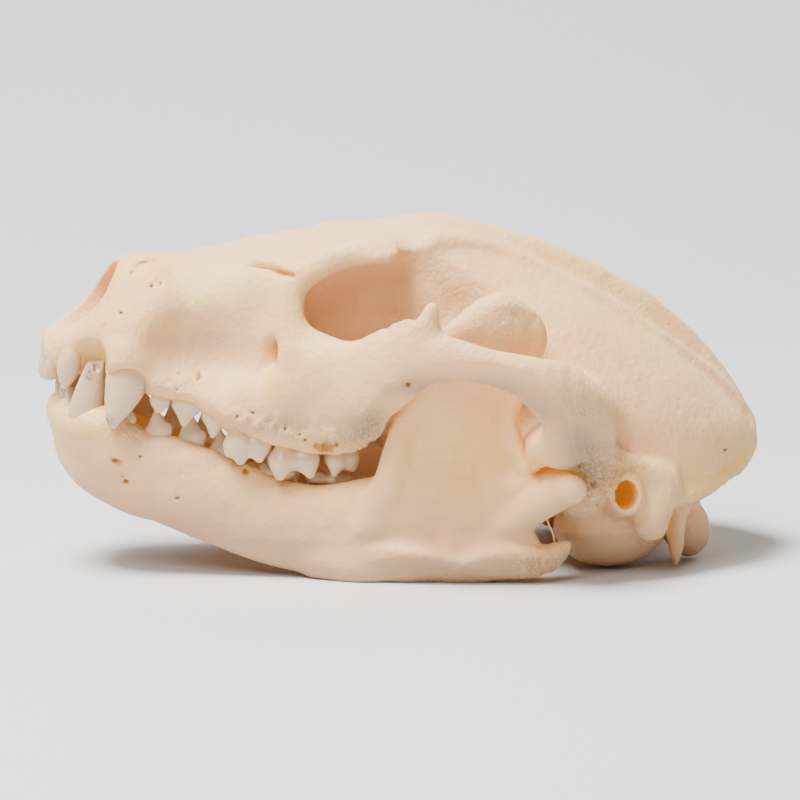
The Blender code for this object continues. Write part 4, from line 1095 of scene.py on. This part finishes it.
def make_tooth(name, plan, upper, left, coat):
    """Place one tooth: turned with its row, leaning, and mirrored for the right side."""
    gum, lean, sizes, turn, kind = plan
    space = tooth_space(kind, sizes)
    if name.endswith("lower_left_c"):
        for ball in BREAKS:
            space.ball(*ball, cut=True)
    corners, faces = net(space.far, space.low, TOOTH_STEP)
    along, across, rise = corners[:, 0], corners[:, 1], corners[:, 2]
    angle = math.radians(turn)
    upward = -1 if upper else 1
    spot = np.stack([
        gum[0] + across * math.cos(angle) + along * math.sin(angle) + lean[0] * rise,
        gum[1] + along * math.cos(angle) - across * math.sin(angle) + lean[1] * np.maximum(rise, 0)
        + lean[1] * np.minimum(rise, 0) * ROOT_LEAN.get(kind, USUAL_ROOT_LEAN),
        gum[2] + rise * upward], 1)
    if not left:
        spot[:, 0] *= -1
    # Hanging and mirroring each turn the faces over.
    if upper == left:
        faces = faces[:, ::-1]
    thing = mesh_from(name, spot, faces, coat)
    thinned(thing, TOOTH_TRIANGLES)
    spot = places_of(thing)
    keep(thing, "rise", (spot[:, 2] - gum[2]) * upward / sizes[2])
    marks = [(spot - np.array(place)) / size for place, size in STAINS]
    keep(thing, "stain", sum(np.exp(-(mark**2).sum(1)) for mark in marks))
    return thing


def keep(thing, name, values):
    """Store one number for each vertex."""
    layer = thing.data.attributes.new(name, "FLOAT", "POINT")
    layer.data.foreach_set("value", np.asarray(values, np.float32))


class Wire:
    """A shader socket that can be reckoned with like a number."""

    def __init__(self, tree, socket):
        self.tree = tree
        self.socket = socket

    def node(self, kind, settings=None, output=0, **inputs):
        """Any other node: its kind, settings, and inputs by name, with spaces as underscores."""
        made = self.tree.nodes.new(kind)
        for key, value in (settings or {}).items():
            setattr(made, key, value)
        for key, value in inputs.items():
            fill(self.tree, made.inputs[key.replace("_", " ")], value)
        return Wire(self.tree, made.outputs[output])

    def maths(self, operation, *others):
        """A maths node on this socket and others."""
        made = self.tree.nodes.new("ShaderNodeMath")
        made.operation = operation
        for place, value in enumerate((self, *others)):
            fill(self.tree, made.inputs[place], value)
        return Wire(self.tree, made.outputs[0])

    def __add__(self, other):
        return self.maths("ADD", other)

    def __sub__(self, other):
        return self.maths("SUBTRACT", other)

    def __rsub__(self, other):
        return self.maths("MULTIPLY", -1.0).maths("ADD", other)

    def __mul__(self, other):
        return self.maths("MULTIPLY", other)

    __radd__, __rmul__ = __add__, __mul__

    def between(self, low, high):
        """0 at low, 1 at high, smooth between and held beyond."""
        return self.node("ShaderNodeMapRange", {"interpolation_type": "SMOOTHSTEP"},
                         Value=self, From_Min=low, From_Max=high)

    def tint(self, below, above):
        """A colour from below at 0 to above at 1."""
        made = self.tree.nodes.new("ShaderNodeMix")
        made.data_type = "RGBA"
        fill(self.tree, made.inputs[0], self)
        fill(self.tree, made.inputs[6], below)
        fill(self.tree, made.inputs[7], above)
        return Wire(self.tree, made.outputs[2])


def fill(tree, socket, value):
    """Join a wire to a socket, or set the socket's own value."""
    if isinstance(value, Wire):
        tree.links.new(value.socket, socket)
    elif isinstance(value, tuple) and len(value) == 3 and socket.type == "RGBA":
        socket.default_value = (*value, 1)
    else:
        socket.default_value = value


def new_coat(name):
    """An empty material: its shader, the place in millimetres, and a reader of stored numbers."""
    coat = bpy.data.materials.new(name)
    coat.use_nodes = True
    tree = coat.node_tree
    shader = tree.nodes["Principled BSDF"]
    start = Wire(tree, None)
    place = start.node("ShaderNodeTexCoord", output="Object")
    place = place.node("ShaderNodeVectorMath", {"operation": "SCALE"}, Vector=place, Scale=1 / MM)

    def stored(key):
        """A number kept on the mesh under a name."""
        return start.node("ShaderNodeAttribute", {"attribute_name": key}, output="Fac")

    return coat, shader, place, stored


def grain(place, size, detail=2.0, rough=0.5):
    """Smooth noise from about 0 to 1 with lumps of a size in millimetres."""
    return place.node("ShaderNodeTexNoise", output="Fac", Vector=place, Scale=1 / size, Detail=detail,
                      Roughness=rough)


def bone_coat():
    """Dry cleaned bone: warm ivory, straw patches, painted shade in hollows turning amber with a
    painted glow in the deepest, brown dust on stored patches that is partly painted shade, painted
    brown shade on undersides near the table, seams, pores and pale crumbs."""
    coat, shader, place, stored = new_coat("dry_bone")
    tree = coat.node_tree
    broad, middle, fine = grain(place, 14), grain(place, 3.2, 3), grain(place, 0.5, 3, 0.6)
    deep = stored("shelter")
    colour = broad.between(0.3, 0.7).tint(IVORY, IVORY_PINK)
    warm = stored("warm") * (0.5 + 0.6 * middle.between(0.25, 0.75))
    colour = warm.maths("MINIMUM", 1.0).tint(colour, STRAW)
    # Grey-brown: partly real dust, partly painted shade on down-facing patches.
    dust_and_shade_share = stored("grey_and_shade") * (0.5 + 0.5 * middle)
    colour = dust_and_shade_share.maths("MINIMUM", 0.8).tint(colour, DUST_AND_SHADE)
    # Painted shade, darker where more of the sky is hidden by nearby bone.
    colour = (deep.between(0.45, 1.0) * 0.5).tint(colour, HOLLOW_SHADE)
    # Painted shade: brown on undersides where the table hides the sky.
    colour = (stored("under").between(0.05, 0.55) * 0.6).tint(colour, DUST_AND_SHADE)
    # Painted shade with warm bounced light, amber in the deepest hollows.
    colour = deep.between(0.7, 1.0).tint(colour, HOLLOW_SHADE_AMBER)
    wander = stored("seam") + (middle - 0.5) * 1.2
    seam = (1 - wander.maths("ABSOLUTE").between(0.08, 0.42)) * grain(place, 1.6).between(0.35, 0.6)
    colour = (seam * 0.7).tint(colour, SEAM)
    specks = fine.between(0.62, 0.8) * (0.08 + 0.12 * stored("rough"))
    colour = specks.tint(colour, DUST_AND_SHADE)
    crumbs = (1 - fine).between(0.5, 0.66) * stored("rough").between(0.3, 1.2) * 0.6
    colour = crumbs.tint(colour, CRUMB)
    fill(tree, shader.inputs["Base Color"], colour)
    fill(tree, shader.inputs["Roughness"], 0.46 + 0.16 * middle + 0.1 * stored("rough"))
    rise = fine * 0.10 + grain(place, 1.1, 3) * 0.2 + middle * 0.25 - seam * 0.2
    rise = rise + stored("rough") * grain(place, 0.6, 3, 0.7) * 0.7
    bump = place.node("ShaderNodeBump", output="Normal", Strength=1.0, Distance=MM, Height=rise)
    fill(tree, shader.inputs["Normal"], bump)
    # Painted glow: emission in the deepest hollows.
    glow = deep.between(0.62, 1.0).tint((0.0, 0.0, 0.0), GLOW)
    fill(tree, shader.inputs["Emission Color"], glow)
    shader.inputs["Emission Strength"].default_value = 1.0
    shader.inputs["Subsurface Weight"].default_value = 0.22
    shader.inputs["Subsurface Radius"].default_value = (1.0, 0.5, 0.22)
    shader.inputs["Subsurface Scale"].default_value = 0.0018
    shader.inputs["IOR"].default_value = 1.45
    return coat


def tooth_coat():
    """Tooth: greyish white enamel on the crown, yellower root, brown stains where they are stored."""
    coat, shader, place, stored = new_coat("tooth_enamel")
    tree = coat.node_tree
    rise = stored("rise")
    broad, fine = grain(place, 3.0), grain(place, 0.6, 3, 0.6)
    crown = (rise + (broad - 0.5) * 0.1).between(0.0, 0.14)
    enamel = broad.between(0.3, 0.7).tint(ENAMEL, ENAMEL_WARM)
    colour = crown.tint(DENTINE, enamel)
    stain = stored("stain") * (0.4 + 0.8 * fine.between(0.35, 0.7))
    colour = stain.maths("MINIMUM", 1.0).tint(colour, STAIN)
    fill(tree, shader.inputs["Base Color"], colour)
    fill(tree, shader.inputs["Roughness"], 0.42 - 0.24 * crown + 0.06 * fine)
    bump = place.node("ShaderNodeBump", output="Normal", Strength=0.5, Distance=MM,
                      Height=fine * 0.04 + broad * 0.08)
    fill(tree, shader.inputs["Normal"], bump)
    shader.inputs["Subsurface Weight"].default_value = 0.2
    shader.inputs["Subsurface Radius"].default_value = (1.0, 0.7, 0.45)
    shader.inputs["Subsurface Scale"].default_value = 0.0014
    shader.inputs["Coat Weight"].default_value = 0.15
    shader.inputs["Coat Roughness"].default_value = 0.2
    return coat


def floor_coat():
    """Matt pale paper."""
    coat = bpy.data.materials.new("floor_paper")
    coat.use_nodes = True
    shader = coat.node_tree.nodes["Principled BSDF"]
    shader.inputs["Base Color"].default_value = (*PAPER, 1)
    shader.inputs["Roughness"].default_value = 0.9
    return coat


def cranium_space():
    """The cranium with both cheek arches, as distances."""
    space = Lattice(CRANIUM_LOW, CRANIUM_HIGH, CRANIUM_STEP)
    for rows, width in ((ROSTRUM, 2.0), (BRAINCASE, 4.0)):
        space.sections(rows, width)
    for ball in EARLY_HOLLOWS:
        space.ball(*ball, cut=True)
    for rows, width in ((FOREHEAD, 2.5), (PALATE, 3.0)):
        space.sections(rows, width)
    for rows, side, width in CRANIUM_STRIPS:
        space.strip(rows, side, width)
    for ball in CRANIUM_BALLS:
        space.ball(*ball)
    for ball in CRANIUM_HOLLOWS:
        space.ball(*ball, cut=True)
    space.soften(CRANIUM_EASING)
    for rows, side, width in CRANIUM_CUTS:
        space.strip(rows, side, width, cut=True)
    for places in CRANIUM_LIPS:
        space.trace(places, LIP_SIZES, LIP_MELT)
    for places in CRANIUM_SLITS:
        space.trace(places, CRANIUM_SLIT_SIZES, SLIT_MELT, cut=True)
    space.pits(CRANIUM_PITS)
    return space


def mandible_space():
    """The mandible, both halves grown together at the chin, as distances."""
    space = Lattice(MANDIBLE_LOW, MANDIBLE_HIGH, MANDIBLE_STEP)
    for rows, side, width in MANDIBLE_STRIPS:
        space.strip(rows, side, width)
    space.soften(MANDIBLE_EASING)
    for places in MANDIBLE_SLITS:
        space.trace(places, MANDIBLE_SLIT_SIZES, SLIT_MELT, cut=True)
    space.pits(MANDIBLE_PITS)
    # The lower borders are flat where they stand on the table.
    z = space.axes[2][None, None, :]
    space.far = np.maximum(space.far, -z).astype(np.float32)
    return space


def weather(points, normals, rough, fibre):
    """Move the skin along its normals: waves of noise, crumbs on rough patches, fibre streaks."""
    waves = sum(height * noise(points / length, seed) for length, height, seed in WAVES)
    crumbs = sum(height * noise(points / length, seed) for length, height, seed in CRUMBS)
    return points + normals * (waves + rough * (crumbs - CRUMB_SINK) + fibre)[:, None]


def make_bone(key, space, bones, seams, most, coat):
    """Skin a bone, roughen it, thin it out, and store what its finish needs, painted shade included."""
    far, low = space.whole()
    corners, faces = net(far, low, space.step)
    thing = mesh_from("bone_" + key, corners, faces, coat)
    normals = normals_of(thing)
    rough = patches(corners, normals, ROUGH_PATCHES[key])
    fibre = noise(corners * FIBRE_SCALE[key], FIBRE_SEED) * FIBRE_HEIGHT
    fibre = fibre * patches(corners, normals, FIBRE_PATCHES[key])
    corners = weather(corners, normals, rough, fibre)
    thing.data.vertices.foreach_set("co", ((corners + CENTRING) * MM).astype(np.float32).ravel())
    thinned(thing, most)
    points, normals = places_of(thing), normals_of(thing)
    for word, plan in (("rough", ROUGH_PATCHES), ("warm", WARM_PATCHES), ("grey_and_shade", GREY_AND_SHADE_PATCHES)):
        keep(thing, word, patches(points, normals, plan[key]))
    keep(thing, "seam", seam_distance(points, seams))
    # Shares that feed painted shade: hollows hidden by bone, undersides hidden by the table.
    shade, under = shelter(points, normals, bones)
    keep(thing, "shelter", shade)
    keep(thing, "under", under)
    return thing


def make_strand(coat):
    """A dried strand of sinew under the left jaw joint: equal rings along a bent path."""
    path = smooth_rows(STRAND, STRAND_RINGS)
    turn = np.arange(STRAND_SIDES) * math.tau / STRAND_SIDES
    ring = np.stack([np.cos(turn), np.sin(turn), 0 * turn], 1) * STRAND_RADIUS
    corners = (path[:, None] + ring).reshape(-1, 3)
    row, column = np.meshgrid(np.arange(len(path) - 1), np.arange(STRAND_SIDES), indexing="ij")
    first = row * STRAND_SIDES + column
    beside = row * STRAND_SIDES + (column + 1) % STRAND_SIDES
    faces = np.stack([first, first + STRAND_SIDES, beside + STRAND_SIDES, beside], -1).reshape(-1, 4)
    return mesh_from("sinew_strand", corners, faces, coat)


def places_of(thing):
    """Vertex places in millimetres, before centring."""
    values = np.empty(3 * len(thing.data.vertices), np.float32)
    thing.data.vertices.foreach_get("co", values)
    return values.reshape(-1, 3) / MM - CENTRING


def normals_of(thing):
    """Vertex normals."""
    values = np.empty(3 * len(thing.data.vertices), np.float32)
    thing.data.vertices.foreach_get("normal", values)
    return values.reshape(-1, 3).astype(float)


def make_stage():
    """A plain pale sheet: flat, then a quarter circle up behind the skull, then upright."""
    across, along = np.meshgrid(np.linspace(-SHEET_HALF_WIDTH, SHEET_HALF_WIDTH, 3),
                                np.linspace(SHEET_FRONT, SHEET_BACK, SHEET_ROWS))
    bend = np.clip(along - SWEEP_START, 0, None)
    curl = np.minimum(bend / SWEEP_RADIUS, math.pi / 2)
    back = np.where(bend > 0, SWEEP_START + SWEEP_RADIUS * np.sin(curl), along)
    rise = SWEEP_RADIUS * (1 - np.cos(curl)) + np.clip(bend - SWEEP_RADIUS * math.pi / 2, 0, None)
    angle = math.radians(VIEW_TURN)
    away = np.array((-math.sin(angle), math.cos(angle)))
    aside = np.array((math.cos(angle), math.sin(angle)))
    flat = across[..., None] * aside + back[..., None] * away
    corners = np.concatenate([flat, rise[..., None]], 2).reshape(-1, 3) - CENTRING
    rows, columns = across.shape
    first = (np.arange(rows - 1)[:, None] * columns + np.arange(columns - 1)).ravel()
    faces = np.stack([first, first + 1, first + columns + 1, first + columns], 1)
    floor = mesh_from("floor", corners, faces, floor_coat())


def make_camera():
    """The camera, away from its target by the view's turn and rise."""
    turn, rise = math.radians(VIEW_TURN), math.radians(VIEW_RISE)
    back = Vector((math.sin(turn) * math.cos(rise), -math.cos(turn) * math.cos(rise),
                   math.sin(rise)))
    lens = bpy.data.cameras.new("view")
    camera = bpy.data.objects.new("view", lens)
    bpy.context.collection.objects.link(camera)
    camera.location = (Vector(VIEW_TARGET) + back * VIEW_DISTANCE) * MM
    camera.rotation_euler = back.to_track_quat("Z", "Y").to_euler()
    lens.sensor_width = SENSOR_WIDTH
    lens.lens = SENSOR_WIDTH * VIEW_DISTANCE / VIEW_WIDTH
    bpy.context.scene.camera = camera


def make_lights():
    """Soft boxes above, in front and behind, and a pale surround."""
    for name, place, size, power in LAMPS:
        data = bpy.data.lights.new(name, "AREA")
        data.energy = power
        data.size = size
        lamp = bpy.data.objects.new(name, data)
        bpy.context.collection.objects.link(lamp)
        lamp.location = place
        away = Vector(place) - Vector(LAMP_TARGET)
        lamp.rotation_euler = away.to_track_quat("Z", "Y").to_euler()
    world = bpy.data.worlds.new("surround")
    world.use_nodes = True
    world.node_tree.nodes["Background"].inputs[0].default_value = (1, 1, 1, 1)
    world.node_tree.nodes["Background"].inputs[1].default_value = SURROUND
    bpy.context.scene.world = world


bone = bone_coat()
spaces = {"cranium": cranium_space(), "mandible": mandible_space()}
solids = [(*space.whole(), space.step) for space in spaces.values()]
for key, seams, most in (("cranium", CRANIUM_SEAMS, CRANIUM_TRIANGLES),
                         ("mandible", MANDIBLE_SEAMS, MANDIBLE_TRIANGLES)):
    piece = make_bone(key, spaces[key], solids, seams, most, bone)
    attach(piece, "root")
    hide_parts(key)
strand = make_strand(bone)
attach(strand, "root")
enamel = tooth_coat()
for teeth, upper, jaw in ((UPPER_TEETH, True, "upper"), (LOWER_TEETH, False, "lower")):
    for key, plan in teeth.items():
        for left, word in ((True, "left"), (False, "right")):
            name = f"tooth_{jaw}_{word}_{key}"
            tooth = make_tooth("enamel_" + name, plan, upper, left, enamel)
            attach(tooth, "root")
            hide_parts(name)
make_stage()
make_camera()
make_lights()
